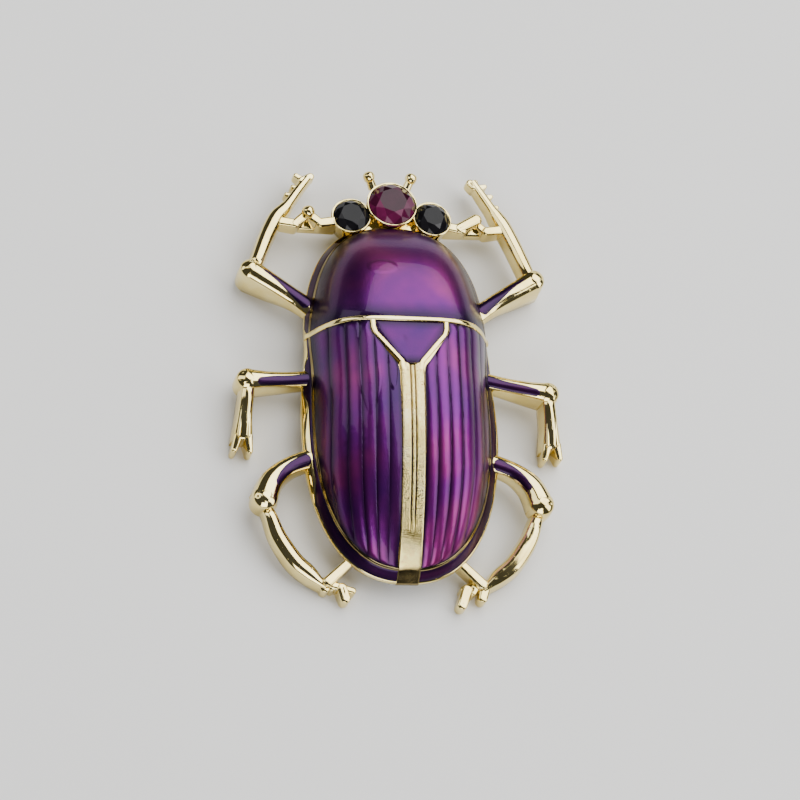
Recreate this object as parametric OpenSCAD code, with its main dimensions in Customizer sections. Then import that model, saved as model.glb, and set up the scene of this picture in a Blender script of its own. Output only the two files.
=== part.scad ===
// Scarab beetle brooch: one hollow casting with enamel fills, three cut stones and a pin finding.
// Millimetres. The head points to +Y and +Z is up. z = 0 is the surface that the feet rest on,
// and x = y = 0 is the middle of the brooch.

/* [Body] */
// Width of the body at its back rim, where it is widest
body_w = 20.1; // [19:0.1:22]
// Width of the back rim at the shoulders, under the cross bar
shoulder_w = 18.9; // [17.5:0.1:20]
// How far the body reaches ahead of the brooch's middle
body_front = 17.2; // [16.4:0.1:17.6]
// How far the body reaches behind the brooch's middle
body_back = 21.2; // [20:0.1:22.5]
// How far behind the middle the body is widest
widest_back = 4.5; // [3:0.1:6.5]
// How far behind the middle the dome is highest
crest_back = 1.5; // [0:0.1:3]
// Height of the flat back rim above the floor
rim_z = 2.3; // [2.1:0.1:2.8]
// Height of the skirt, from the back rim to the ridge
skirt_h = 1.7; // [1.4:0.1:2.2]
// Height of the dome above the ridge
dome_h = 5.9; // [5:0.1:7]
// Width of the sloping skirt, at the sides and the tail
skirt_w = 1.05; // [0.9:0.05:1.3]
// Width of the skirt at the front
front_skirt_w = 0.7; // [0.55:0.05:0.9]
// Width of the skirt at the shoulders, where it is pinched
shoulder_skirt_w = 0.3; // [0.25:0.05:0.5]
// Height of the bare metal edge under the skirt's enamel
band_h = 0.45; // [0.4:0.05:0.6]
// How much higher that edge rises behind the shoulders
band_rise = 0.55; // [0.2:0.05:0.7]
// Wall of the hollow casting under the enamel
wall = 1.1; // [0.8:0.1:1.4]
// Width of the flat back rim
rim_w = 1.25; // [1:0.05:1.6]

/* [Bar and stripe] */
// How far ahead of the middle the cross bar lies
bar_ahead = 4.1; // [3.5:0.1:5]
// How far the bar's ends are swept forwards
bar_sweep = 0.3; // [0:0.05:0.8]
// Width of the cross bar
bar_w = 0.52; // [0.4:0.02:0.7]
// Distance of each arm from the middle line, where it leaves the bar
arm_out = 3.75; // [3:0.05:4.5]
// How far behind the middle the arms meet the stripe
arm_foot_back = 0.7; // [0:0.1:1.5]
// Width of the arms
arm_w = 0.46; // [0.35:0.02:0.6]
// Width of the double stripe down the back
stripe_w = 2.26; // [1.8:0.02:2.8]
// Width of the thread between the stripe's two flats
thread_w = 0.34; // [0.25:0.01:0.45]
// Width of the groove on each side of the thread
groove_w = 0.14; // [0.1:0.01:0.2]
// Depth of those grooves
groove_d = 0.16; // [0.1:0.01:0.25]

/* [Enamel] */
// Depth of the enamel on the back, measured straight down
enamel_t = 0.45; // [0.35:0.05:0.6]
// Depth of the enamel at the skirt's lower edge
margin_t = 0.3; // [0.2:0.02:0.36]
// Depth of the enamel on the thighs
patch_t = 0.35; // [0.25:0.05:0.45]
// Gap between the enamel and the metal round it
fit_gap = 0.03; // [0.02:0.01:0.05]
// Width of the metal line along the ridge
ridge_line_w = 0.3; // [0.2:0.02:0.4]
// Width of the metal line along the back rim
edge_line_w = 0.16; // [0.12:0.02:0.24]
// How far the metal lines stand proud of the enamel
proud = 0.07; // [0.03:0.01:0.12]
// Number of ribs on each wing cover
ribs = 6; // [5:1:9]
// Height of the ribs
rib_h = 0.18; // [0.08:0.01:0.25]

/* [Stones] */
// Diameter of the centre stone
stone_d = 4.9; // [4.6:0.1:5.2]
// Diameter of the two side stones
side_stone_d = 3.75; // [3.4:0.05:4]
// How far ahead of the middle the centre stone sits
stone_ahead = 19.05; // [18.6:0.05:19.4]
// How far behind the centre stone the side stones sit
side_stone_back = 1.3; // [1:0.05:1.6]
// Gap between the centre stone's girdle and the side stones'
stone_gap = 0.1; // [0.08:0.01:0.3]
// Height of the centre stone's girdle above the floor
stone_z = 4.4; // [4.2:0.1:5]
// Height of the side stones' girdles above the floor
side_stone_z = 4; // [3.8:0.1:4.6]
// Lean of the stones towards the front, in degrees
stone_lean = 8; // [4:1:12]
// Lean of the side stones outwards, in degrees
side_lean = 5; // [0:1:8]
// Thickness of a stone's girdle
girdle_t = 0.15; // [0.1:0.01:0.25]
// Wall of the stone cups
cup_wall = 0.3; // [0.25:0.05:0.45]
// Depth of the stone cups below the girdle
cup_h = 2.3; // [2.1:0.1:2.6]
// How far the cup's lip stands above the girdle
cup_lip = 0.12; // [0.05:0.01:0.2]

/* [Legs] */
// How far the front claws reach ahead of the middle
reach_front = 23.4; // [22:0.1:25]
// How far the hind claws reach behind the middle
reach_back = 23.4; // [22:0.1:25]
// Distance of the front claws from the middle line
front_claw_out = 8.8; // [8:0.1:9.6]
// Distance of the front knees from the middle line
front_knee_out = 14.7; // [13.5:0.1:16]
// How far ahead of the middle the front knees are
front_knee_ahead = 11.5; // [10.5:0.1:12.5]
// Distance of the middle knees from the middle line
mid_knee_out = 15.4; // [14.5:0.1:17]
// How far behind the middle the middle knees are
mid_knee_back = 0.4; // [-0.5:0.1:1]
// Distance of the middle feet from the middle line
mid_foot_out = 15.9; // [15:0.1:17]
// How far behind the middle the middle feet end
mid_foot_back = 7.6; // [6.8:0.1:8.4]
// Width of the middle feet across their fork
mid_foot_w = 2.3; // [1.8:0.1:2.8]
// Distance of the hind knees from the middle line
hind_knee_out = 14; // [13:0.1:15]
// How far behind the middle the hind knees are
hind_knee_back = 12.8; // [12:0.1:13.6]
// Distance of the hind claws from the middle line
hind_claw_out = 5.4; // [5:0.1:6.2]
// Width of the front thighs at the knee
front_leg_w = 2.1; // [1.7:0.1:2.4]
// Width of the middle thighs at the knee
mid_leg_w = 1.7; // [1.4:0.1:2]
// Width of the hind thighs at the knee
hind_leg_w = 2.1; // [1.7:0.1:2.4]
// Height of the knees above the floor
knee_z = 4.3; // [4:0.1:4.8]
// Sideways slope of the legs' walls, as a share of their height
draft = 0.08; // [0:0.01:0.12]
// Height of the crown on a leg's top, as a share of its half width
crown = 0.5; // [0.2:0.05:0.8]
// Diameter of the knobs on the antennae and horns
knob_d = 1.15; // [0.9:0.05:1.4]
// Width of the antennae and horns
feeler_w = 0.8; // [0.6:0.05:1]
// Width of the struts from the hind feet to the body
strut_w = 1.1; // [0.8:0.05:1.4]
// How far ahead of the left middle leg the right one leaves the body
right_root_ahead = 0.5; // [0:0.05:0.8]
// How far behind the left middle knee the right one is
right_knee_back = 0.5; // [0:0.05:0.8]

/* [Pin] */
// Width of the pin finding's bar
pin_bar_w = 3.2; // [2.5:0.1:4]
// Thickness of the bar
pin_bar_t = 0.6; // [0.4:0.05:0.7]
// Diameter of the pin stem
pin_d = 0.8; // [0.6:0.05:0.9]
// Diameter of the hinge barrel
barrel_d = 1.5; // [1.3:0.1:1.7]
// Height of the pin stem's middle above the floor
pin_z = 0.6; // [0.5:0.05:0.8]
// Length of the catch
catch_l = 3; // [2:0.1:4]

/* [Hidden] */

gold = [0.87, 0.79, 0.55];
purple = [0.42, 0.1, 0.55];
wine = [0.55, 0.1, 0.35];
black = [0.08, 0.08, 0.09];
steel = [0.75, 0.75, 0.76];

ridge_z = rim_z + skirt_h;
top_z = ridge_z + dome_h;
over = 2; // how far a cutting solid runs past what it cuts
steps = 23; // stations from the tail to the front
hollow_steps = 14;
tail_square = 2.35; // fullness of the outline behind the widest place; 2 is an ellipse
head_square = 2.4; // fullness of the outline ahead of the bar
section_bow = 2.3; // shape of the dome's cross-section, and how steeply it meets the ridge
section_side = 0.9;
tail_bow = 1.7; // shape of the crest behind its highest place
tail_side = 0.3;
head_bow = 2.1; // shape of the crest ahead of its highest place
head_side = 0.9;
ring_shares = [0, 0.08, 0.2, 0.36, 0.6]; // rings of the dome, from the ridge to the spine
hollow_shares = [0, 0.15, 0.45];
edge_share = edge_line_w / skirt_w; // the two metal lines' inner edges, as shares of the skirt
line_share = 1 - ridge_line_w / 2 / skirt_w;
pinch_l = 3; // length of the pinch in the skirt at the shoulders
spine_share = 0.8; // how far the spine reaches towards the ridge's two ends
slim_fn = 8; // sides of small round details
knee_turn = 19; // turns the knees' flats clear of the legs' walls

function mix(a, b, t) = a + (b - a) * t;
function ease(t) = t * t * (3 - 2 * t);
function arch(t, square) = pow(max(0, 1 - pow(t, square)), 1 / square);
function bell(t) = exp(-t * t);
function unit(v) = v / norm(v);

// Half width of an outline at station y. The insets say how far it lies inside the back rim.
function half_at(y, side_in, front_in, shoulder_in) =
    let (tail_y = side_in - body_back,
        head_y = body_front - front_in,
        wide = body_w / 2 - side_in,
        narrow = shoulder_w / 2 - front_in,
        pinch = (front_in - shoulder_in) * bell((y - bar_ahead) / pinch_l))
    y < -widest_back ? wide * arch((-widest_back - y) / (-widest_back - tail_y), tail_square)
    : y > bar_ahead ? narrow * arch((y - bar_ahead) / (head_y - bar_ahead), head_square) + pinch
    : mix(narrow, wide, ease((bar_ahead - y) / (bar_ahead + widest_back))) + pinch;

// A closed outline, from the tail up the right side to the front and back down the left
function outline(side_in, front_in, shoulder_in, n) =
    let (ys = [for (i = [0 : n]) mix(side_in - body_back, body_front - front_in, (1 - cos(180 * i / n)) / 2)])
    [for (i = [0 : 2 * n - 1])
        let (k = i <= n ? i : 2 * n - i,
            side = i == 0 || i == n ? 0 : i < n ? 1 : -1)
        [side * half_at(ys[k], side_in, front_in, shoulder_in), ys[k]]];

function base_outline(in, n = steps) = outline(in, in, in, n);
function ridge_outline(in, n = steps) =
    outline(skirt_w + in, front_skirt_w + in, shoulder_skirt_w + in, n);

// A rise that is 1 in the middle of a form and 0 at its edge, where t is 1. The fuller its
// side, the steeper it meets the edge.
function rise(t, bow, side) = let (s = pow(min(1, t), bow)) (1 - s) * (1 + side * s);

// Height of the crest over the ridge at station y, as a share of the dome's height
function crest_share(y) = y < -crest_back
    ? rise((-crest_back - y) / (body_back - skirt_w - crest_back), tail_bow, tail_side)
    : rise((y + crest_back) / (body_front - front_skirt_w + crest_back), head_bow, head_side);

// Height of the dome's surface. Outside the ridge it falls away as the skirt does.
function dome_z(x, y) =
    let (half = half_at(y, skirt_w, front_skirt_w, shoulder_skirt_w),
        u = half > 0 ? abs(x) / half : 1,
        beyond = max(0, abs(x) - half))
    ridge_z + dome_h * crest_share(y) * rise(u, section_bow, section_side) - beyond * skirt_h / skirt_w;

// Top of the bare metal edge at the back rim. It rises behind the shoulder and beside the waist.
function edge_z(y) = rim_z + band_h
    + band_rise * bell((y - bar_ahead * 0.55) / (bar_ahead * 0.4))
    + band_rise * 0.5 * bell((y + widest_back * 1.4) / (widest_back * 0.7));

// A loop on the skirt: share is 0 at the back rim and 1 at the ridge
function skirt_loop(share, lift) =
    let (base = base_outline(0), ridge = ridge_outline(0))
    [for (i = [0 : len(base) - 1])
        let (p = mix(base[i], ridge[i], share))
        [p[0], p[1], mix(edge_z(base[i][1]), ridge_z, share) + lift]];

function flat_loop(plan, z) = [for (p = plan) [p[0], p[1], z]];
function dome_loop(plan, lift) = [for (p = plan) [p[0], p[1], dome_z(p[0], p[1]) + lift]];

// The spine is the line under the crest on which the dome's rings close
function spine_under(plan) =
    let (n = len(plan) / 2, mid_y = (plan[0][1] + plan[n][1]) / 2)
    [for (k = [0 : n]) [0, mix(mid_y, plan[k][1], spine_share)]];

function dome_loops(plan, shares, lift) =
    let (n = len(plan) / 2, spine = spine_under(plan))
    [for (s = shares)
        dome_loop([for (i = [0 : 2 * n - 1]) mix(plan[i], spine[i <= n ? i : 2 * n - i], s)], lift)];

// A solid under closed loops that climb inwards from a flat underside to a spine
module dome_solid(loops, spine) {
    n = len(loops[0]);
    rings = len(loops);
    function at(r, i) = r < rings ? r * n + i % n
        : rings * n + (i % n <= n / 2 ? i % n : n - i % n);
    points = concat([for (loop = loops, p = loop) p], spine);
    faces = concat(
        [[for (i = [0 : n - 1]) i]],
        [for (r = [0 : rings - 1], i = [0 : n - 1]) each [
            [at(r, i), at(r + 1, i), at(r + 1, i + 1)],
            [at(r, i), at(r + 1, i + 1), at(r, i + 1)]]]);
    polyhedron(points, faces);
}

// A closed band through four loops, given as they run round the section
module band_solid(loops) {
    n = len(loops[0]);
    rings = len(loops);
    faces = [for (r = [0 : rings - 1], i = [0 : n - 1])
        let (a = r * n + i, b = r * n + (i + 1) % n, up = n * ((r + 1) % rings) - n * r)
        each [[a, a + up, b + up], [a, b + up, b]]];
    polyhedron([for (loop = loops, p = loop) p], faces);
}

// The shell's outer metal: rim, skirt bed, ridge line and dome bed, in one run of loops
module body_metal() {
    inner = ridge_outline(ridge_line_w / 2);
    dome_solid(concat(
        [flat_loop(base_outline(0), rim_z)],
        [skirt_loop(0, proud), skirt_loop(edge_share, proud), skirt_loop(edge_share, -margin_t)],
        [skirt_loop(line_share, -margin_t), skirt_loop(line_share, proud), skirt_loop(1, proud)],
        [dome_loop(inner, proud)],
        dome_loops(inner, ring_shares, -enamel_t)),
        dome_loop(spine_under(inner), -enamel_t));
}

// Everything under the whole outer surface, raised by lift
module body_under(lift) {
    inner = ridge_outline(ridge_line_w / 2);
    dome_solid(concat(
        [flat_loop(base_outline(0), rim_z), skirt_loop(0, lift), skirt_loop(1, lift)],
        dome_loops(inner, ring_shares, lift)),
        dome_loop(spine_under(inner), lift));
}

// Everything under the dome inside the ridge line
module dome_under(lift) {
    inner = ridge_outline(ridge_line_w / 2);
    dome_solid(concat([flat_loop(inner, 0)], dome_loops(inner, ring_shares, lift)),
        dome_loop(spine_under(inner), lift));
}

module hollow() {
    inner = ridge_outline(wall * 1.2, hollow_steps);
    mouth = base_outline(rim_w, hollow_steps);
    lift = -enamel_t - wall;
    dome_solid(concat([flat_loop(mouth, -over), flat_loop(mouth, rim_z + band_h)],
        dome_loops(inner, hollow_shares, lift)),
        dome_loop(spine_under(inner), lift));
}

// The surface of the wing cover with its ribs, which run straight back at constant x
module ribbed_under() {
    inner = stripe_w / 2;
    outer = body_w / 2 - skirt_w;
    pitch = (outer - inner) / ribs;
    columns = ribs * 4;
    rows = 15;
    xs = [for (c = [0 : columns]) inner + (outer - inner) * c / columns];
    ys = [for (r = [0 : rows]) mix(-body_back, bar_ahead + bar_w, 1 - cos(90 * r / rows))];
    row = columns + 1;
    count = row * (rows + 1);
    function rib_z(x) = rib_h * (abs(sin(180 * (x - inner) / pitch)) - 0.6);
    points = concat(
        [for (y = ys, x = xs) [x, y, dome_z(x, y) + rib_z(x)]],
        [for (y = ys, x = xs) [x, y, 0]]);
    top = [for (r = [0 : rows - 1], c = [0 : columns - 1]) let (a = r * row + c)
        each [[a, a + row, a + row + 1], [a, a + row + 1, a + 1]]];
    bottom = [for (r = [0 : rows - 1], c = [0 : columns - 1]) let (a = count + r * row + c)
        each [[a, a + row + 1, a + row], [a, a + 1, a + row + 1]]];
    sides = concat(
        [for (c = [0 : columns - 1]) each wall_quad(c, c + 1, count)],
        [for (c = [0 : columns - 1]) let (a = rows * row + c) each wall_quad(a + 1, a, count)],
        [for (r = [0 : rows - 1]) let (a = r * row) each wall_quad(a + row, a, count)],
        [for (r = [0 : rows - 1]) let (a = r * row + columns) each wall_quad(a, a + row, count)]);
    polyhedron(points, concat(top, bottom, sides));
}

// Two triangles of an upright wall under the top edge from a to b
function wall_quad(a, b, count) = [[a, b, b + count], [a, b + count, a + count]];

// Centre line of the cross bar
function bar_y(x) = bar_ahead + bar_sweep * pow(2 * x / shoulder_w, 2);
bar_end_y = bar_y(shoulder_w / 2);

// A rounded bar in plan, from a to b
module plan_bar(a, b, w) {
    hull() {
        translate(a) circle(d = w, $fn = slim_fn);
        translate(b) circle(d = w, $fn = slim_fn);
    }
}

module bar_plan(grow) {
    pieces = 8;
    reach = shoulder_w / 2;
    xs = [for (i = [0 : pieces]) mix(-reach, reach, i / pieces)];
    for (i = [0 : pieces - 1])
        plan_bar([xs[i], bar_y(xs[i])], [xs[i + 1], bar_y(xs[i + 1])], bar_w + 2 * grow);
}

// The arm's line in plan on the right: down from the bar, then in to the stripe
arm_line = [
    [arm_out, bar_y(arm_out)],
    [arm_out * 0.96, mix(bar_ahead, -arm_foot_back, 0.3)],
    [stripe_w / 2 - arm_w / 2, -arm_foot_back]];

module arms_plan(grow) {
    for (side = [-1, 1], k = [0, 1])
        plan_bar([side * arm_line[k][0], arm_line[k][1]],
            [side * arm_line[k + 1][0], arm_line[k + 1][1]], arm_w + 2 * grow);
}

// The stripe starts in a notch between the arms and runs back over the tail to the rim
module stripe_plan(grow) {
    half = stripe_w / 2 + grow;
    front_y = -arm_foot_back;
    polygon([[-half, -body_back - over], [half, -body_back - over], [half, front_y],
        [0, front_y - stripe_w / 4], [-half, front_y]]);
}

module lines_plan(grow) {
    bar_plan(grow);
    arms_plan(grow);
    stripe_plan(grow);
}

// The small triangle between the bar and the arms, along their centre lines
module scutellum_plan() {
    polygon(concat(
        [for (i = [0 : 4]) let (x = mix(-arm_out, arm_out, i / 4)) [x, bar_y(x)]],
        [arm_line[1], arm_line[2]],
        [for (k = [2, 1]) [-arm_line[k][0], arm_line[k][1]]]));
}

// Everything ahead of the cross bar's centre line
module ahead_of_bar() {
    far = body_w;
    polygon(concat(
        [[far, bar_end_y], [far, body_front + over], [-far, body_front + over],
            [-far, bar_end_y]],
        [for (i = [0 : 8]) let (x = mix(-shoulder_w / 2, shoulder_w / 2, i / 8)) [x, bar_y(x)]]));
}

module upright() {
    linear_extrude(height = top_z + over) children();
}

// The two grooves beside the stripe's thread. They run out past the stripe's notch.
module grooves_plan() {
    for (side = [-1, 1])
        translate([side * (thread_w + groove_w) / 2, -body_back]) square([groove_w, 2 * body_back], center = true);
}

// The bar, the arms and the stripe, which rise between the enamel fields and a little over the ridge line
module raised_lines() {
    difference() {
        intersection() {
            body_under(proud * 1.5);
            upright() lines_plan(0);
        }
        difference() {
            upright() grooves_plan();
            body_under(-groove_d);
        }
    }
}

// A leg is a line of stations: x, y, half width, underside and top.
// Its table gives, along the line from a to b, the share of the way, the sideways bow as a share
// of the line's length, the width as a share of w, and underside and top as shares of the knee's height.
function spline(rows, t) =
    let (last = len(rows) - 1,
        at = min(last - 0.0001, t * last),
        i = floor(at),
        f = at - i,
        p0 = rows[max(0, i - 1)],
        p1 = rows[i],
        p2 = rows[i + 1],
        p3 = rows[min(last, i + 2)])
    0.5 * (2 * p1 + (p2 - p0) * f + (2 * p0 - 5 * p1 + 4 * p2 - p3) * f * f
        + (3 * p1 - p0 - 3 * p2 + p3) * f * f * f);

function leg_line(a, b, w, rows, count) =
    let (along = b - a,
        side = [along[1], -along[0]])
    [for (i = [0 : count])
        let (row = spline(rows, i / count),
            p = a + along * row[0] + side * row[1])
        [p[0], p[1], w / 2 * row[2], max(0, knee_z * row[3]), knee_z * row[4]]];

function heading(line, i) =
    let (p = line[max(0, i - 1)],
        q = line[min(len(line) - 1, i + 1)])
    unit([q[0] - p[0], q[1] - p[1]]);

crown_shares = [1, 0.62, 0, -0.62, -1];

function crown_z(p, u) = p[4] - crown * p[2] * pow(abs(u), 2.2);

// Lofts one closed section for each station. All sections have the same number of points.
module loft(sections) {
    m = len(sections[0]);
    last = len(sections) - 1;
    points = [for (s = sections, p = s) p];
    faces = concat(
        [[for (i = [m - 1 : -1 : 0]) i]],
        [[for (i = [0 : m - 1]) last * m + i]],
        [for (j = [0 : last - 1], i = [0 : m - 1])
            let (a = j * m + i, b = j * m + (i + 1) % m)
            each [[a, b, b + m], [a, b + m, a + m]]]);
    polyhedron(points, faces);
}

module leg_solid(line, grow) {
    loft([for (i = [0 : len(line) - 1])
        let (p = line[i],
            dir = heading(line, i),
            side = [dir[1], -dir[0]],
            half = p[2] + grow,
            foot = half + draft * (p[4] - p[3]))
        concat(
            [for (s = [-1, 1]) [p[0] + side[0] * foot * s, p[1] + side[1] * foot * s, p[3] - grow]],
            [for (u = crown_shares)
                [p[0] + side[0] * half * u, p[1] + side[1] * half * u, crown_z(p, u) + grow]])]);
}

// An enamel patch let into a leg's top. Its table gives the share along the thigh and the two
// sides across it, as shares of the half width. The cutter that makes its bed is larger by grow.
module patch_solid(line, rows, grow, rise) {
    last = len(line) - 1;
    count = 6;
    ends = [rows[0][0], rows[len(rows) - 1][0]];
    stretch = grow / norm([line[last][0] - line[0][0], line[last][1] - line[0][1]]);
    function on_line(s) =
        let (at = min(last - 0.0001, max(0, s * last)),
            i = floor(at))
        mix(line[i], line[i + 1], at - i);
    loft([for (k = [0 : count])
        let (t = mix(ends[0] - stretch, ends[1] + stretch, k / count),
            row = spline(rows, k / count),
            p = on_line(t),
            dir = heading(line, round(t * last)),
            side = [dir[1], -dir[0]],
            from = row[1] - grow / p[2],
            to = row[2] + grow / p[2],
            low = min(crown_z(p, from), crown_z(p, to)) - patch_t - grow)
        concat(
            [for (u = [from, to]) [p[0] + side[0] * p[2] * u, p[1] + side[1] * p[2] * u, low]],
            [for (q = [1, 0.66, 0.33, 0]) let (u = mix(from, to, q))
                [p[0] + side[0] * p[2] * u, p[1] + side[1] * p[2] * u, crown_z(p, u) + rise]])]);
}

// Where each thigh leaves the body, on the right side
root_share = 0.6; // how far into the wall a thigh starts
mid_root_y = 0.1;
front_root_share = 0.62; // place of the front thighs' roots, as a share of their knees'
hind_root_share = 0.65;
function root(y) = [half_at(y, 0, 0, 0) - wall * root_share, y];
front_root = root(front_knee_ahead * front_root_share);
hind_root = root(-hind_knee_back * hind_root_share);
front_knee = [front_knee_out, front_knee_ahead];
left_mid = [root(mid_root_y), [mid_knee_out, -mid_knee_back], [mid_foot_out, -mid_foot_back]];
right_mid = [root(mid_root_y + right_root_ahead), [mid_knee_out, -mid_knee_back - right_knee_back],
    [mid_foot_out, -mid_foot_back]];
hind_knee = [hind_knee_out, -hind_knee_back];
front_claw = [front_claw_out, reach_front];
hind_claw = [hind_claw_out, -reach_back];

front_thigh = leg_line(front_root, front_knee, front_leg_w,
    [[0, 0, 0.95, 0.6, 0.84], [0.35, -0.02, 0.86, 0.42, 0.86], [0.7, -0.01, 0.9, 0.24, 0.92],
        [1, 0, 1, 0.14, 0.98]], 6);
front_shin = leg_line(front_knee, front_claw, front_leg_w,
    [[0.02, -0.01, 0.6, 0.5, 0.8], [0.09, -0.01, 0.6, 0.46, 0.93], [0.3, 0.012, 0.66, 0.44, 0.9],
        [0.5, 0.015, 0.7, 0.42, 0.86], [0.61, -0.012, 0.6, 0.4, 0.82], [0.68, -0.022, 0.46, 0.4, 0.79],
        [0.82, -0.038, 0.42, 0.39, 0.75], [0.95, -0.065, 0.36, 0.38, 0.71]], 11);
mid_spread = mid_foot_w / mid_leg_w;
// A middle leg's places are its root, its knee and its foot
function mid_thigh(places) = leg_line(places[0], places[1], mid_leg_w,
    [[0, 0, 0.95, 0.6, 0.84], [0.35, 0.01, 0.78, 0.42, 0.84], [0.7, 0.01, 0.8, 0.34, 0.9],
        [1, 0, 1, 0.34, 0.98]], 6);
function mid_shin(places) = leg_line(places[1], places[2], mid_leg_w,
    [[0.08, 0.01, 0.78, 0.36, 0.82], [0.17, 0.01, 0.76, 0.34, 0.92], [0.5, 0, 0.86, 0.2, 0.78],
        [0.75, 0, mix(0.86, mid_spread, 0.6), 0.08, 0.62],
        [0.96, 0, mid_spread, 0, 0.52], [1, 0, mid_spread * 0.9, 0, 0.42]], 8);
hind_thigh = leg_line(hind_root, hind_knee, hind_leg_w,
    [[0, -0.02, 1, 0.6, 0.84], [0.4, -0.15, 0.88, 0.42, 0.88], [0.73, -0.14, 0.97, 0.38, 0.94],
        [1, 0, 1.1, 0.38, 0.98]], 7);
hind_shin = leg_line(hind_knee, hind_claw, hind_leg_w,
    [[0.06, -0.03, 0.56, 0.4, 0.7], [0.12, -0.045, 0.6, 0.38, 0.8], [0.27, -0.092, 0.68, 0.32, 0.74],
        [0.47, -0.107, 0.7, 0.2, 0.66], [0.61, -0.078, 0.64, 0.1, 0.57], [0.7, -0.06, 0.46, 0.05, 0.5],
        [0.76, -0.04, 0.34, 0.04, 0.44]], 10);

front_patch = [[0.14, -0.8, 0.75], [0.4, -0.8, 0.4], [0.65, -0.75, -0.15], [0.85, -0.6, -0.35]];
mid_patch = [[0.12, -0.5, 0.8], [0.4, -0.45, 0.8], [0.65, -0.3, 0.75], [0.82, -0.05, 0.6]];
hind_patch = [[0.1, -0.55, 0.8], [0.3, -0.3, 0.8], [0.48, 0, 0.8], [0.62, 0.25, 0.7]];

// An upright post, the unit of the claws, teeth and feelers
module post(at, low, high, d) {
    translate([at[0], at[1], low]) cylinder(h = high - low, d1 = d * 1.1, d2 = d * 0.85, $fn = slim_fn);
}

// A bar of metal between two posts
module link(a, b, low, high_a, high_b, d_a, d_b) {
    hull() {
        post(a, low, high_a, d_a);
        post(b, low, high_b, d_b);
    }
}

module knee(at, w, low) {
    translate([at[0], at[1], 0]) rotate(knee_turn) hull() {
        translate([0, 0, knee_z * low]) cylinder(h = knee_z * (0.65 - low), d1 = w * 1.05, d2 = w, $fn = 12);
        translate([0, 0, knee_z - w * 0.42]) sphere(d = w * 1.02, $fn = 12);
    }
}

// A bar of metal whose ends are given from the middle of a claw, as shares of the leg's width
module foot_bar(claw, w, from, to, low, high, wide, slim) {
    link(claw + w * from, claw + w * to, knee_z * low, knee_z * high, knee_z * high * 0.93, w * wide, w * slim);
}

module front_foot() {
    w = front_leg_w;
    foot_bar(front_claw, w, [-0.2, -0.56], [-0.34, -0.33], 0.36, 0.7, 0.38, 0.34);
    foot_bar(front_claw, w, [0, -0.6], [0.4, -0.24], 0.35, 0.69, 0.32, 0.24);
    foot_bar(front_claw, w, [0.1, -1.06], [0.42, -0.97], 0.37, 0.71, 0.32, 0.22);
    foot_bar(front_claw, w, [0.4, -1.64], [0.73, -1.52], 0.38, 0.74, 0.32, 0.22);
}

module hind_foot() {
    w = hind_leg_w;
    foot_bar(hind_claw, w, [1.4, 1.27], [-0.1, 0.83], 0, 0.42, 0.36, 0.26);
    foot_bar(hind_claw, w, [0.33, 0.82], [0.05, 0.22], 0, 0.4, 0.44, 0.42);
    foot_bar(hind_claw, w, [1.16, 1.17], [0.92, 0.98], 0, 0.42, 0.42, 0.38);
}

// The strut that holds the hind foot to the body's rim
module strut(grow) {
    foot = [hind_claw[0] + hind_leg_w * 1.12, hind_claw[1] + hind_leg_w * 1.22];
    y = -body_back * 0.88;
    link(foot, [half_at(y, rim_w / 2, rim_w / 2, rim_w / 2), y], rim_z * 0.35 - grow,
        rim_z + grow, rim_z + band_h + grow, strut_w + 2 * grow, strut_w * 0.8 + 2 * grow);
}

module mid_leg(places) {
    foot = places[2];
    leg_solid(mid_thigh(places), 0);
    difference() {
        leg_solid(mid_shin(places), 0);
        translate([foot[0], foot[1], -over]) linear_extrude(height = knee_z + 2 * over)
            polygon([[0, mid_foot_w * 0.64], [mid_foot_w * 0.24, -over], [-mid_foot_w * 0.24, -over]]);
    }
    knee(places[1], mid_leg_w * 1.15, 0.31);
}

// The front and hind legs of the right side
module right_legs() {
    leg_solid(front_thigh, 0);
    leg_solid(front_shin, 0);
    leg_solid(hind_thigh, 0);
    leg_solid(hind_shin, 0);
    knee(front_knee, front_leg_w, 0.11);
    knee(hind_knee, hind_leg_w * 1.18, 0.34);
    front_foot();
    hind_foot();
    strut(0);
}

module right_patches(grow, rise) {
    patch_solid(front_thigh, front_patch, grow, rise);
    patch_solid(hind_thigh, hind_patch, grow, rise);
}

// The stones touch the circles round the centre stone, so their places follow their sizes
side_stone_out = sqrt(pow((stone_d + side_stone_d) / 2 + stone_gap, 2) - pow(side_stone_back, 2));
// Each stone: place, diameter, lean to the front and lean to the right
centre_seat = [[0, stone_ahead, stone_z], stone_d, stone_lean, 0];
right_seat = [[side_stone_out, stone_ahead - side_stone_back, side_stone_z], side_stone_d, stone_lean,
    side_lean];
left_seat = [[-side_stone_out, stone_ahead - side_stone_back, side_stone_z], side_stone_d, stone_lean,
    -side_lean];
seats = [centre_seat, right_seat, left_seat];
table_share = 0.56; // the table's width as a share of the stone's
crown_share = 0.2; // height of the stone's crown as a share of its diameter
pavilion_share = 0.36; // depth of its point as a share of its diameter

module seated(seat) {
    translate(seat[0]) rotate([-seat[2], seat[3], 0]) children();
}

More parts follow.
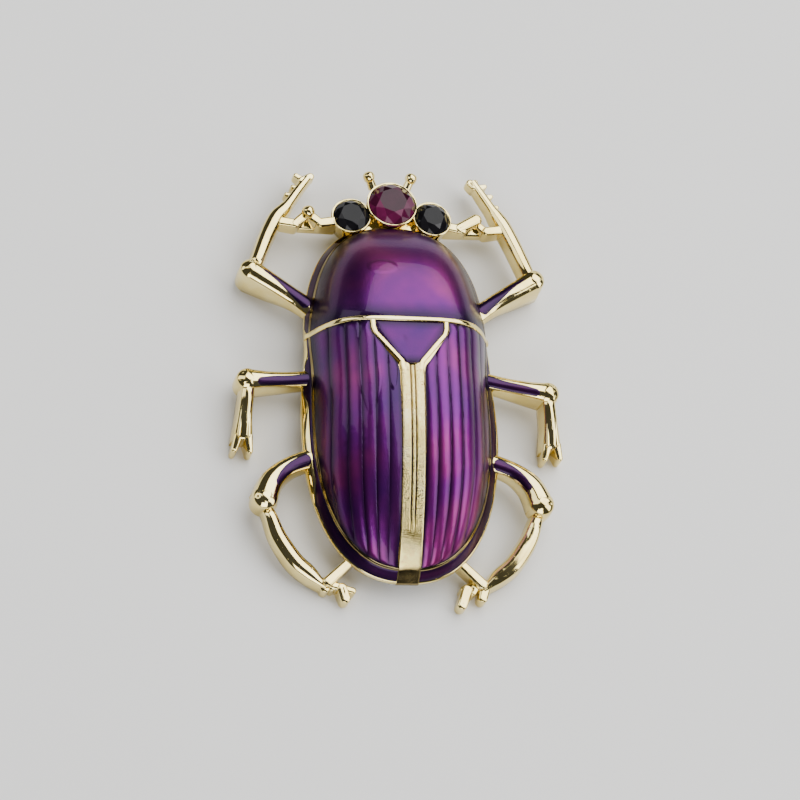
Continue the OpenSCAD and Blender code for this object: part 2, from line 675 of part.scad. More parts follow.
// A round cut stone with an octagonal table, 24 crown facets and a pointed back
module cut_stone(d) {
    r = d / 2;
    sides = 16;
    table = [for (k = [0 : 7]) [r * table_share * cos(45 * k), r * table_share * sin(45 * k), d * crown_share]];
    girdle = [for (z = [girdle_t / 2, -girdle_t / 2], k = [0 : sides - 1])
        [r * cos(22.5 * k), r * sin(22.5 * k), z]];
    points = concat(table, girdle, [[0, 0, -girdle_t / 2 - d * pavilion_share]]);
    function g(k) = 8 + (k + sides) % sides;
    function low(k) = g(k) + sides;
    faces = concat(
        [[for (k = [7 : -1 : 0]) k]],
        [for (k = [0 : 7]) each [
            [k, g(2 * k), g(2 * k - 1)],
            [k, g(2 * k + 1), g(2 * k)],
            [k, (k + 1) % 8, g(2 * k + 1)]]],
        [for (k = [0 : sides - 1]) each [
            [g(k), g(k + 1), low(k + 1)],
            [g(k), low(k + 1), low(k)],
            [low(k), low(k + 1), 8 + 2 * sides]]]);
    polyhedron(points, faces);
}

// The stone cups and the head that joins them to the body
module cups(grow) {
    for (seat = seats) {
        r = seat[1] / 2;
        seated(seat) translate([0, 0, -cup_h - grow])
            cylinder(h = cup_h + cup_lip + 2 * grow, r1 = r * 0.8 + cup_wall + grow, r2 = r + cup_wall + grow,
                $fn = 32);
    }
    hull() for (seat = seats)
        translate([seat[0][0] * 0.9, seat[0][1] - seat[1] * 0.2, rim_z])
            cylinder(h = skirt_h * 0.6, r = seat[1] * 0.32 + grow, $fn = 16);
}

// What the enamel leaves clear for the cups, which lean back over it at their feet
module cups_plan() {
    for (seat = seats)
        translate([seat[0][0], seat[0][1] - cup_h * sin(seat[2])])
            circle(r = seat[1] * 0.42 + cup_wall + 2 * fit_gap, $fn = 32);
}

module stone_beds() {
    for (seat = seats) seated(seat) {
        r = seat[1] / 2 + fit_gap;
        depth = seat[1] * pavilion_share + 2 * fit_gap;
        low = -girdle_t / 2 - fit_gap;
        translate([0, 0, low]) cylinder(h = over, r = r, $fn = 32);
        translate([0, 0, low - depth]) cylinder(h = depth, r1 = r * 0.04, r2 = r, $fn = 32);
    }
}

// Horn from the centre cup, and antenna from the side cup to the front shin, on the right.
// A low web stiffens the antenna.
module right_feelers() {
    r = stone_d / 2;
    horn_foot = [r * 0.7, stone_ahead + r * 0.85, stone_z - cup_h * 0.4];
    horn_tip = [r * 0.9, stone_ahead + r * 1.27, stone_z - cup_h * 0.15];
    hull() {
        translate(horn_foot) sphere(d = feeler_w, $fn = slim_fn);
        translate(horn_tip) sphere(d = feeler_w * 0.7, $fn = slim_fn);
    }
    translate(horn_tip) sphere(d = knob_d * 0.9, $fn = slim_fn);
    shin = front_shin[4];
    from = side_stone_out + side_stone_d * 0.45;
    y = stone_ahead - side_stone_back;
    cup_side = [from, y - 0.6];
    bend = [mix(from, shin[0], 0.24), y - 0.85];
    knob = [mix(from, shin[0], 0.45), y + 0.15];
    dip = [mix(from, shin[0], 0.66), y - 0.9];
    high = side_stone_z;
    link(cup_side, bend, rim_z, high, high, feeler_w, feeler_w);
    link(bend, knob, rim_z, high, high, feeler_w * 0.8, feeler_w);
    link(knob, dip, rim_z, high, high * 0.92, feeler_w, feeler_w * 0.8);
    link(dip, shin, rim_z * 0.8, high * 0.92, high * 0.86, feeler_w * 0.8, feeler_w);
    translate([knob[0], knob[1], high]) sphere(d = knob_d, $fn = slim_fn);
    link(cup_side, shin, rim_z * 0.7, rim_z * 1.1, rim_z * 1.1, feeler_w, feeler_w);
}

module casting() {
    color(gold) difference() {
        union() {
            body_metal();
            raised_lines();
            cups(0);
            for (side = [0, 1]) mirror([side, 0, 0]) {
                right_legs();
                right_feelers();
            }
            mid_leg(right_mid);
            mirror([1, 0, 0]) mid_leg(left_mid);
        }
        hollow();
        stone_beds();
        for (side = [0, 1]) mirror([side, 0, 0]) right_patches(fit_gap, over);
        patch_solid(mid_thigh(right_mid), mid_patch, fit_gap, over);
        mirror([1, 0, 0]) patch_solid(mid_thigh(left_mid), mid_patch, fit_gap, over);
    }
}

// The plan of the dome's enamel, with the bar, arms and stripe left out
module body_field() {
    difference() {
        polygon(ridge_outline(ridge_line_w / 2 + fit_gap));
        bar_plan(fit_gap);
        arms_plan(fit_gap);
        stripe_plan(fit_gap);
    }
}

module pronotum_enamel() {
    color(purple) difference() {
        intersection() {
            dome_under(0);
            upright() intersection() {
                body_field();
                ahead_of_bar();
            }
        }
        dome_under(fit_gap - enamel_t);
        upright() cups_plan();
    }
}

module scutellum_enamel() {
    color(purple) difference() {
        intersection() {
            dome_under(0);
            upright() intersection() {
                body_field();
                scutellum_plan();
            }
        }
        dome_under(fit_gap - enamel_t);
    }
}

module right_elytron_enamel() {
    color(purple) difference() {
        intersection() {
            ribbed_under();
            upright() difference() {
                body_field();
                ahead_of_bar();
                scutellum_plan();
            }
        }
        dome_under(fit_gap - enamel_t);
    }
}

// The skirt's enamel on the right side, cut clear of the bar's end, the cups and the legs
module skirt_enamel() {
    gap_share = fit_gap / skirt_w;
    difference() {
        band_solid([skirt_loop(edge_share + gap_share, fit_gap - margin_t), skirt_loop(edge_share + gap_share, 0),
            skirt_loop(line_share - gap_share, 0), skirt_loop(line_share - gap_share, fit_gap - margin_t)]);
        upright() {
            bar_plan(fit_gap);
            stripe_plan(fit_gap);
            translate([-2 * body_w, -2 * body_back]) square([2 * body_w, 4 * body_back]);
        }
        cups(fit_gap);
        leg_solid(front_thigh, fit_gap);
        leg_solid(hind_thigh, fit_gap);
        strut(fit_gap);
    }
}

module margin_enamel(mid_places) {
    color(purple) difference() {
        intersection() {
            skirt_enamel();
            translate([0, bar_end_y - 2 * body_back, 0]) cube([body_w, 2 * body_back, top_z]);
        }
        leg_solid(mid_thigh(mid_places), fit_gap);
    }
}

module left_margin_enamel() { mirror([1, 0, 0]) margin_enamel(left_mid); }
module right_margin_enamel() { margin_enamel(right_mid); }

module right_shoulder_enamel() {
    color(purple) intersection() {
        skirt_enamel();
        translate([side_stone_out, bar_end_y, 0]) cube([body_w, 2 * body_front, top_z]);
    }
}

module right_front_leg_enamel() { color(purple) patch_solid(front_thigh, front_patch, 0, 0); }
module left_mid_leg_enamel() {
    color(purple) mirror([1, 0, 0]) patch_solid(mid_thigh(left_mid), mid_patch, 0, 0);
}
module right_mid_leg_enamel() { color(purple) patch_solid(mid_thigh(right_mid), mid_patch, 0, 0); }
module right_hind_leg_enamel() { color(purple) patch_solid(hind_thigh, hind_patch, 0, 0); }

module centre_stone() { color(wine) seated(centre_seat) cut_stone(stone_d); }
module right_stone() { color(black) seated(right_seat) cut_stone(side_stone_d); }
module left_stone() { color(black) seated(left_seat) cut_stone(side_stone_d); }

// The pin finding: a bar against the back rim, a hinge barrel at the tail, a stem and the catch,
// on which the brooch's front rests
module pin_back() {
    bar_top = rim_z - fit_gap;
    tail_y = -body_back + rim_w * 0.25;
    front_y = body_front - rim_w * 0.4;
    barrel_z = bar_top - barrel_d / 2;
    barrel_y = tail_y + barrel_d / 2;
    catch_y = front_y - catch_l - 1;
    color(steel) union() {
        translate([-pin_bar_w / 2, tail_y, bar_top - pin_bar_t]) cube([pin_bar_w, front_y - tail_y, pin_bar_t]);
        translate([-pin_bar_w / 2, barrel_y, barrel_z]) rotate([0, 90, 0]) cylinder(h = pin_bar_w, d = barrel_d);
        translate([0, barrel_y, pin_z]) rotate([-90, 0, 0])
            cylinder(h = catch_y + catch_l * 0.8 - barrel_y, d = pin_d);
        translate([-pin_d, catch_y, 0]) cube([2 * pin_d, catch_l, bar_top]);
    }
}

casting();
pronotum_enamel();
scutellum_enamel();
mirror([1, 0, 0]) right_elytron_enamel();  // left_elytron_enamel
right_elytron_enamel();
left_margin_enamel();
right_margin_enamel();
mirror([1, 0, 0]) right_shoulder_enamel();  // left_shoulder_enamel
right_shoulder_enamel();
mirror([1, 0, 0]) right_front_leg_enamel();  // left_front_leg_enamel
right_front_leg_enamel();
left_mid_leg_enamel();
right_mid_leg_enamel();
mirror([1, 0, 0]) right_hind_leg_enamel();  // left_hind_leg_enamel
right_hind_leg_enamel();
centre_stone();
left_stone();
right_stone();
pin_back();
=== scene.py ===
import math
import bpy
import bmesh
import numpy as np
from mathutils import Matrix, Vector


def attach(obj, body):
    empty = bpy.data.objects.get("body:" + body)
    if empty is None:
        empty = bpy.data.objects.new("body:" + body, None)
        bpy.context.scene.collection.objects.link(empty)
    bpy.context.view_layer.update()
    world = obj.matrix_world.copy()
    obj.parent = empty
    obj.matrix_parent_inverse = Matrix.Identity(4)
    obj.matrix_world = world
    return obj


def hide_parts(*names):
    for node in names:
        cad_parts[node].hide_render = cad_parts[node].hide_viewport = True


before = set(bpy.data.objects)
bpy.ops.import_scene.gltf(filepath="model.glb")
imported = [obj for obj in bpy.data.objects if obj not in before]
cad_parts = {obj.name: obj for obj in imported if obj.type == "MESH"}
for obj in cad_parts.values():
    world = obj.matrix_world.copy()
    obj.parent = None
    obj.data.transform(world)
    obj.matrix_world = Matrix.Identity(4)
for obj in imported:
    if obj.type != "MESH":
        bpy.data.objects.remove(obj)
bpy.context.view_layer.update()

# Lengths are in millimetres and become metres in addMesh. The head points to +Y.
# The body's and the raised lines' sizes are here, as nearly every piece lies on them. A square is the power
# of the plan's curve, and a bow is the power and the fullness of the dome's fall to the tail, head or side.
body = {"width": 20.1, "shoulder": 18.9, "front": 17.2, "back": 21.2, "widestBack": 4.5, "crestBack": 1.5,
        "rimZ": 2.3, "skirtH": 1.7, "domeH": 5.9, "skirtW": 1.05, "frontSkirtW": 0.7,
        "shoulderSkirtW": 0.3, "bandH": 0.45, "bandRise": 0.55, "wall": 1.1, "rimW": 1.25,
        "tailSquare": 2.35, "headSquare": 2.4, "backBow": (1.7, 0.3), "frontBow": (2.1, 0.9),
        "sideBow": (2.3, 0.9)}
lines = {"barAhead": 4.1, "barSweep": 0.3, "barW": 0.56, "barH": 0.13, "armOut": 3.75, "armBack": 0.7,
         "armW": 0.5, "armH": 0.075, "stripeW": 2.26, "stripeH": 0.1, "smoothFrom": -15, "threadW": 0.3,
         "grooveW": 0.14, "grooveD": 0.12, "ridgeW": 0.2, "edgeW": 0.14}
ridgeZ = body["rimZ"] + body["skirtH"]
armBendY = lines["barAhead"] + (-lines["armBack"] - lines["barAhead"]) * 0.3  # where the arms turn inward

# The photo's camera: the way back from its target, in metres, and its roll in degrees
view = {"lens": 135, "sensor": 36, "shift": -1 / 800, "back": (-0.2079, -0.3584, 0.9101), "distance": 0.3,
        "target": (0, -0.0023, 0.004), "roll": -2.9}


def makeCamera():
    data = bpy.data.cameras.new("camera")
    data.lens, data.sensor_width = view["lens"], view["sensor"]
    data.clip_start, data.clip_end = 0.01, 10
    data.shift_x = view["shift"]
    cam = bpy.data.objects.new("camera", data)
    bpy.context.collection.objects.link(cam)
    back = Vector(view["back"]).normalized()
    right = Vector((0, 1, 0)).cross(back).normalized()
    up = back.cross(right)
    roll = math.radians(view["roll"])
    right, up = (right * math.cos(roll) + up * math.sin(roll), up * math.cos(roll) - right * math.sin(roll))
    spin = Matrix((right, up, back)).transposed()
    place = Vector(view["target"]) + back * view["distance"]
    cam.matrix_world = Matrix.Translation(place) @ spin.to_4x4()
    bpy.context.scene.camera = cam


# Surfaces of the body, as whole arrays
def bell(t):
    # 1 at the middle, falling to nothing by about 2
    return np.exp(-t * t)


def arch(t, square):
    # a superellipse's quarter: 1 at t = 0, 0 at t = 1, squarer with a larger power
    return np.maximum(0, 1 - np.clip(t, 0, 1) ** square) ** (1 / square)


def halfAt(y, sideIn, frontIn, shoulderIn):
    # half width: a superellipse behind the widest place and ahead of the bar, an eased line between
    y = np.asarray(y, float)
    tailY, headY = sideIn - body["back"], body["front"] - frontIn
    wide, narrow = body["width"] / 2 - sideIn, body["shoulder"] / 2 - frontIn
    pinch = (frontIn - shoulderIn) * bell((y - lines["barAhead"]) / 3)
    tail = wide * arch((-body["widestBack"] - y) / (-body["widestBack"] - tailY), body["tailSquare"])
    head = narrow * arch((y - lines["barAhead"]) / (headY - lines["barAhead"]), body["headSquare"]) + pinch
    t = np.clip((lines["barAhead"] - y) / (lines["barAhead"] + body["widestBack"]), 0, 1)
    middle = narrow + (wide - narrow) * t * t * (3 - 2 * t) + pinch
    return np.where(y < -body["widestBack"], tail, np.where(y > lines["barAhead"], head, middle))


def ridgeHalf(y, inset=0.0):
    return halfAt(y, body["skirtW"] + inset, body["frontSkirtW"] + inset, body["shoulderSkirtW"] + inset)


def outline(sideIn, frontIn, shoulderIn, n=220):
    # closed plan of the body, set in from its edge: up the right side from the tail, down the left
    t = (1 - np.cos(np.pi * np.arange(n + 1) / n)) / 2
    ys = (sideIn - body["back"]) + (body["front"] - frontIn - sideIn + body["back"]) * t
    half = halfAt(ys, sideIn, frontIn, shoulderIn)
    half[0] = half[-1] = 0
    right = np.stack([half, ys], 1)
    left = right[1:-1][::-1] * [-1, 1]
    return np.concatenate([right, left])


def baseOutline(inset):
    return outline(inset, inset, inset)


def ridgeOutline(inset):
    return outline(body["skirtW"] + inset, body["frontSkirtW"] + inset, body["shoulderSkirtW"] + inset)


def rise(t, bow, side):
    # falls from 1 at t = 0 to 0 at t = 1: late with a larger bow, fuller with a larger side
    s = np.clip(t, 0, 1) ** bow
    return (1 - s) * (1 + side * s)


def domeZ(x, y):
    # height of the dome: crest share times the cross-section's share, falling away beyond the ridge
    x, y = np.asarray(x, float), np.asarray(y, float)
    half = np.maximum(ridgeHalf(y), 1e-6)
    backLong = body["back"] - body["skirtW"] - body["crestBack"]
    frontLong = body["front"] - body["frontSkirtW"] + body["crestBack"]
    back = rise((-body["crestBack"] - y) / backLong, *body["backBow"])
    front = rise((y + body["crestBack"]) / frontLong, *body["frontBow"])
    crest = np.where(y < -body["crestBack"], back, front)
    beyond = np.where(y < 0.3 + body["skirtW"] - body["back"], 0, np.maximum(0, np.abs(x) - half))
    z = ridgeZ + body["domeH"] * crest * rise(np.abs(x) / half, *body["sideBow"])
    z = z - beyond * body["skirtH"] / body["skirtW"]
    tail = np.clip((-y - (body["back"] - body["skirtW"])) / body["skirtW"], 0, 1.2)
    return z - np.where(np.abs(x) < 3, tail, 0) * (ridgeZ - edgeZ(-body["back"]))


def edgeZ(y):
    # height of the skirt's lower edge: a band over the rim that swells beside the shield and the waist
    first = bell((y - lines["barAhead"] * 0.55) / (lines["barAhead"] * 0.4))
    second = bell((y + body["widestBack"] * 1.4) / (body["widestBack"] * 0.7))
    return body["rimZ"] + body["bandH"] + body["bandRise"] * (first + 0.5 * second)


def barY(x):
    # the cross bar's middle line, a parabola that sweeps forward at the sides
    return lines["barAhead"] + lines["barSweep"] * (2 * x / body["shoulder"]) ** 2


def ripple(a, b, seed, count=9, low=0.6, high=2.6):
    # smooth unevenness: a sum of plane waves with fixed directions
    rng = np.random.default_rng(seed)
    total = 0
    for _ in range(count):
        turn, pace, phase = rng.uniform(0, 2 * np.pi), rng.uniform(low, high), rng.uniform(0, 2 * np.pi)
        total = total + np.sin(pace * (np.cos(turn) * a + np.sin(turn) * b) + phase)
    return total / count


def tubeFaces(ids):
    # quads between neighbours on a grid of points whose rows are closed loops
    rows, cols = ids.shape
    r, c = np.meshgrid(np.arange(rows - 1), np.arange(cols), indexing="ij")
    on = (c + 1) % cols
    return np.stack([ids[r, c], ids[r, on], ids[r + 1, on], ids[r + 1, c]], -1).reshape(-1, 4)


def fanFaces(ids):
    # closes a loop by triangles from its first point, each given as a quad with one point twice
    return np.stack([np.full(len(ids) - 2, ids[0]), ids[1:-1], ids[2:], ids[2:]], 1)


class Build:
    # collects closed surfaces that make one piece, each point with a tone for its material
    def __init__(self):
        self.points, self.faces, self.tones, self.count = [], [], [], 0

    def add(self, points, faces, tone=None):
        points = np.asarray(points, float).reshape(-1, 3)
        self.points.append(points)
        self.faces.append(np.asarray(faces) + self.count)
        self.tones.append(np.zeros(len(points)) if tone is None else np.asarray(tone, float).ravel())
        self.count += len(points)

    def loops(self, loops):
        # closed tube through loops, its ends closed by fans
        loops = np.asarray(loops, float)
        ids = np.arange(loops.shape[0] * loops.shape[1]).reshape(loops.shape[:2])
        faces = [tubeFaces(ids), fanFaces(ids[0][::-1]), fanFaces(ids[-1])]
        self.add(loops, np.concatenate(faces))

    def slab(self, top, bottom, tone=None):
        # closed sheet between two grids of the same shape
        rows, cols = top.shape[:2]
        ids = np.arange(rows * cols * 2).reshape(2, rows, cols)
        ring = np.concatenate([ids[0], ids[1][:, ::-1]], 1)
        faces = [tubeFaces(ring)]
        for row in (0, rows - 1):
            a, b = ids[0, row], ids[1, row]
            faces.append(np.stack([a[:-1], a[1:], b[1:], b[:-1]], 1))
        tones = None if tone is None else np.concatenate([np.ravel(tone), np.ravel(tone)])
        self.add(np.concatenate([top.reshape(-1, 3), bottom.reshape(-1, 3)]), np.concatenate(faces), tones)

    def flip(self, start):
        # the pieces added since start change sides
        for k in range(start, len(self.points)):
            self.points[k] = self.points[k] * [-1, 1, 1]

    def finish(self, name, material, slotName, nodes, sharp):
        addMesh(name, np.concatenate(self.points), np.concatenate(self.faces), material, slotName, nodes,
                sharp, np.concatenate(self.tones))


def addMesh(name, points, faces, material, slotName=None, nodes=(), sharp=38, tone=None):
    # a mesh from whole arrays; a quad with one point twice is a triangle, sharp is an angle or 0 for facets
    keep = faces != np.roll(faces, 1, axis=1)
    count = keep.sum(1)
    byFace = tone is not None and len(tone) == len(faces) != len(points)
    if byFace:
        tone = np.asarray(tone)[count > 2]
    faces, keep, count = faces[count > 2], keep[count > 2], count[count > 2]
    corners = faces[keep].astype(np.int32)
    mesh = bpy.data.meshes.new(name)
    mesh.vertices.add(len(points))
    mesh.vertices.foreach_set("co", (points * 0.001).astype(np.float32).ravel())
    mesh.loops.add(len(corners))
    mesh.loops.foreach_set("vertex_index", corners)
    mesh.polygons.add(len(count))
    mesh.polygons.foreach_set("loop_start", (np.cumsum(count) - count).astype(np.int32))
    mesh.update(calc_edges=True)
    if tone is not None:
        layer = mesh.attributes.new("tone", "FLOAT", "FACE" if byFace else "POINT")
        layer.data.foreach_set("value", np.asarray(tone, np.float32))
    work = bmesh.new()
    work.from_mesh(mesh)
    bmesh.ops.remove_doubles(work, verts=work.verts, dist=1e-7)
    bmesh.ops.recalc_face_normals(work, faces=work.faces)
    work.to_mesh(mesh)
    work.free()
    mesh.polygons.foreach_set("use_smooth", np.full(len(mesh.polygons), sharp > 0))
    if sharp > 0:
        mesh.set_sharp_from_angle(angle=math.radians(sharp))
    mesh.materials.append(material)
    obj = bpy.data.objects.new(name, mesh)
    bpy.context.collection.objects.link(obj)
    if slotName:
        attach(obj, "root")
        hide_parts(*nodes)
    return obj


def newMaterial(name, **values):
    # values are the shader's inputs, an underscore for a space
    mat = bpy.data.materials.new(name)
    mat.use_nodes = True
    shader = mat.node_tree.nodes["Principled BSDF"]
    for key, value in values.items():
        shader.inputs[key.replace("_", " ")].default_value = value
    return mat, mat.node_tree, shader


def noiseNode(tree, coords, scale, detail=3.0, rough=0.5):
    node = tree.nodes.new("ShaderNodeTexNoise")
    node.inputs["Scale"].default_value = scale
    node.inputs["Detail"].default_value = detail
    node.inputs["Roughness"].default_value = rough
    tree.links.new(coords, node.inputs["Vector"])
    return node.outputs["Fac"]


def objectCoords(tree):
    return tree.nodes.new("ShaderNodeTexCoord").outputs["Object"]


def rampNode(tree, source, stops):
    # colours from a source of 0 to 1; each stop is a place and a colour
    ramp = tree.nodes.new("ShaderNodeValToRGB")
    while len(ramp.color_ramp.elements) < len(stops):
        ramp.color_ramp.elements.new(0.5)
    for element, (place, colour) in zip(ramp.color_ramp.elements, stops):
        element.position = place
        element.color = (*colour, 1)
    tree.links.new(source, ramp.inputs["Fac"])
    return ramp.outputs["Color"]


def bumpNode(tree, height, strength, distance, before=None):
    bump = tree.nodes.new("ShaderNodeBump")
    bump.inputs["Strength"].default_value = strength
    bump.inputs["Distance"].default_value = distance
    tree.links.new(height, bump.inputs["Height"])
    if before is not None:
        tree.links.new(before, bump.inputs["Normal"])
    return bump.outputs["Normal"]


def toneNode(tree):
    node = tree.nodes.new("ShaderNodeAttribute")
    node.attribute_name = "tone"
    return node.outputs["Fac"]


def mixNode(tree, share, first, second):
    node = tree.nodes.new("ShaderNodeMix")
    node.data_type = "RGBA"
    tree.links.new(share, node.inputs[0])
    tree.links.new(first, node.inputs[6])
    tree.links.new(second, node.inputs[7])
    return node.outputs[2]


def timesNode(tree, first, second):
    node = tree.nodes.new("ShaderNodeMath")
    node.operation = "MULTIPLY"
    tree.links.new(first, node.inputs[0])
    tree.links.new(second, node.inputs[1])
    return node.outputs[0]


def overNode(tree, source, base):
    # how far the source stands over a base value
    node = tree.nodes.new("ShaderNodeMath")
    node.operation, node.use_clamp = "SUBTRACT", True
    tree.links.new(source, node.inputs[0])
    node.inputs[1].default_value = base
    return node.outputs[0]


def grey(value):
    return (value, value, value)


# Colours run over a noise, each with its place on it; scales are waves in a metre and depths are in metres
# The darkening colours paint a dark reflection on the stripe's tail end, and darken the ridge and the
# stripe's grooves
plating = {"tones": [(0.3, (0.76, 0.60, 0.20)), (0.55, (0.88, 0.72, 0.29)), (0.75, (0.92, 0.79, 0.39))],
           "darkening": [(0.3, (0.03, 0.017, 0.016)), (0.7, (0.085, 0.052, 0.042))],
           "toneScale": 420, "wearScale": 900, "castScale": 520, "castDepth": 0.00008, "pitDepth": 0.00003}
# The enamel's deep colour and the colour of its painted highlight, mixed by tone
glaze = {"deep": [(0.3, (0.006, 0.0006, 0.014)), (0.7, (0.012, 0.001, 0.028))],
         "bright": [(0.3, (0.05, 0.001, 0.12)), (0.5, (0.12, 0.003, 0.135)), (0.78, (0.27, 0.022, 0.13))],
         "metallic": 0.85, "rough": 0.33, "coat": 0.2, "cloudScale": 140, "waveScale": 300,
         "waveDepth": 0.0002, "grainScale": 3600, "grainDepth": 0.00004}


def goldMaterial(name, pits, rough, grainScale, reach):
    # plated casting: mirror-like, faintly uneven, small pits where tone is 0, darkened where it is over 1: a
    # painted dark reflection on the stripe's end over the tail, a darker ridge and darker grooves
    mat, tree, shader = newMaterial(name, Metallic=1.0)
    at = objectCoords(tree)
    tone = noiseNode(tree, at, plating["toneScale"], 4)
    colour = rampNode(tree, tone, plating["tones"])
    darkening = overNode(tree, toneNode(tree), 1)
    darkColour = rampNode(tree, tone, plating["darkening"])
    tree.links.new(mixNode(tree, darkening, colour, darkColour), shader.inputs["Base Color"])
    wear = noiseNode(tree, at, plating["wearScale"], 5)
    spread = rampNode(tree, wear, [(0.35, grey(rough)), (0.75, grey(rough * 1.9))])
    tree.links.new(spread, shader.inputs["Roughness"])
    cast = noiseNode(tree, at, plating["castScale"], 2)
    normal = bumpNode(tree, cast, 0.25, plating["castDepth"])
    grain = noiseNode(tree, at, grainScale, 3, 0.6)
    dents = rampNode(tree, grain, [(0.24 + reach, grey(1)), (0.36 + reach, grey(0))])
    pitted = rampNode(tree, toneNode(tree), [(0.0, grey(1)), (1.0, grey(0))])
    sunk = rampNode(tree, timesNode(tree, dents, pitted), [(0.0, grey(1)), (1.0, grey(0))])
    tree.links.new(bumpNode(tree, sunk, pits, plating["pitDepth"], normal), shader.inputs["Normal"])
    return mat


def enamelMaterial(name, ripples):
    # metallic purple under a clear coat: deep where tone is 0, a painted pinkish highlight where it is 1
    mat, tree, shader = newMaterial(name, Metallic=glaze["metallic"], Roughness=glaze["rough"],
                                    Coat_Weight=glaze["coat"], Coat_Roughness=0.02, Coat_IOR=1.5)
    at = objectCoords(tree)
    cloud = noiseNode(tree, at, glaze["cloudScale"])
    deep, bright = rampNode(tree, cloud, glaze["deep"]), rampNode(tree, cloud, glaze["bright"])
    tree.links.new(mixNode(tree, toneNode(tree), deep, bright), shader.inputs["Base Color"])
    waves = noiseNode(tree, at, glaze["waveScale"], 2)
    coatNormal = bumpNode(tree, waves, ripples, glaze["waveDepth"])
    tree.links.new(coatNormal, shader.inputs["Coat Normal"])
    grain = noiseNode(tree, at, glaze["grainScale"])
    tree.links.new(bumpNode(tree, grain, 0.3, glaze["grainDepth"], coatNormal), shader.inputs["Normal"])
    return mat


def stoneMaterial(name, deep, bright, veil):
    # facets differ by tone, which paints light and shade on them; faint cloud inside
    mat, tree, shader = newMaterial(name, Roughness=0.05, IOR=1.5)
    shader.inputs["Specular IOR Level"].default_value = veil
    cloud = noiseNode(tree, objectCoords(tree), 900, 2)
    dark = rampNode(tree, cloud, [(0.3, deep), (0.7, [c * 1.6 for c in deep])])
    light = rampNode(tree, cloud, [(0.3, [c * 0.7 for c in bright]), (0.7, bright)])
    tree.links.new(mixNode(tree, toneNode(tree), dark, light), shader.inputs["Base Color"])
    return mat


def steelMaterial():
    # plain drawn steel with a fine grain
    mat, tree, shader = newMaterial("steel", Metallic=1.0)
    grain = noiseNode(tree, objectCoords(tree), 2500, 4)
    colour = rampNode(tree, grain, [(0.3, (0.55, 0.55, 0.56)), (0.7, (0.68, 0.68, 0.69))])
    tree.links.new(colour, shader.inputs["Base Color"])
    spread = rampNode(tree, grain, [(0.3, grey(0.22)), (0.7, grey(0.36))])
    tree.links.new(spread, shader.inputs["Roughness"])
    tree.links.new(bumpNode(tree, grain, 0.2, 0.00004), shader.inputs["Normal"])
    return mat


# Enamel: its thickness on the dome, on the skirt and in the legs' patches, the gap at its edge, the wing
# covers' ribs, and where the strips on the skirt end along Y
enamel = {"depth": 0.42, "margin": 0.28, "patchDepth": 0.3, "gap": 0.02, "ribs": 6, "ribH": 0.15,
          "edgeDip": 0.09, "skirtTo": 4.1, "shoulderFrom": 4.75, "shoulderTo": 15.2}
# Bare strips on the skirt: from, run-in, to, run-out along Y, then the share added on the left and the right
bareStrips = [(-13.4, 2.2, -1.5, 1.5, 0.5, 0.1), (1.4, 0.6, 5.4, 0.6, 0.4, 0.2)]
ridgeShare = 1 - lines["ridgeW"] / 2 / body["skirtW"]  # where the ridge's foot lies on the skirt


def flat(plan, z):
    # points in plan given a height
    return np.concatenate([plan, np.broadcast_to(np.asarray(z, float), (len(plan),))[:, None]], 1)


def bareShare(plan):
    # share of the skirt left bare above the base edge; wider at the waist, most of all on the left
    y, left = plan[:, 1], plan[:, 0] < 0
    share = 0
    for low, runIn, high, runOut, onLeft, onRight in bareStrips:
        strip = np.clip((y - low) / runIn, 0, 1) * np.clip((high - y) / runOut, 0, 1)
        share = share + np.where(left, onLeft, onRight) * strip
    return lines["edgeW"] / body["skirtW"] + share


def skirtLoop(share, lift):
    # a loop on the skirt, a share of the way from the base edge to the ridge, lifted off it
    base, ridge = baseOutline(0), ridgeOutline(0)
    share = np.broadcast_to(share, (len(base),))
    low = edgeZ(base[:, 1])
    return flat(base + (ridge - base) * share[:, None], low + (ridgeZ - low) * share + lift)


def domeLoops(plan, shares, lift):
    # loops on the dome from a plan in to the spine, which ends short of the tail and the head
    n = len(plan) // 2
    k = np.minimum(np.arange(2 * n), 2 * n - np.arange(2 * n))
    middle = (plan[0, 1] + plan[n, 1]) / 2
    spine = np.stack([np.zeros(2 * n), middle + (plan[k, 1] - middle) * 0.8], 1)
    loops = []
    for s in shares:
        p = plan + (spine - plan) * s
        loops.append(flat(p, domeZ(p[:, 0], p[:, 1]) + lift))
    return loops


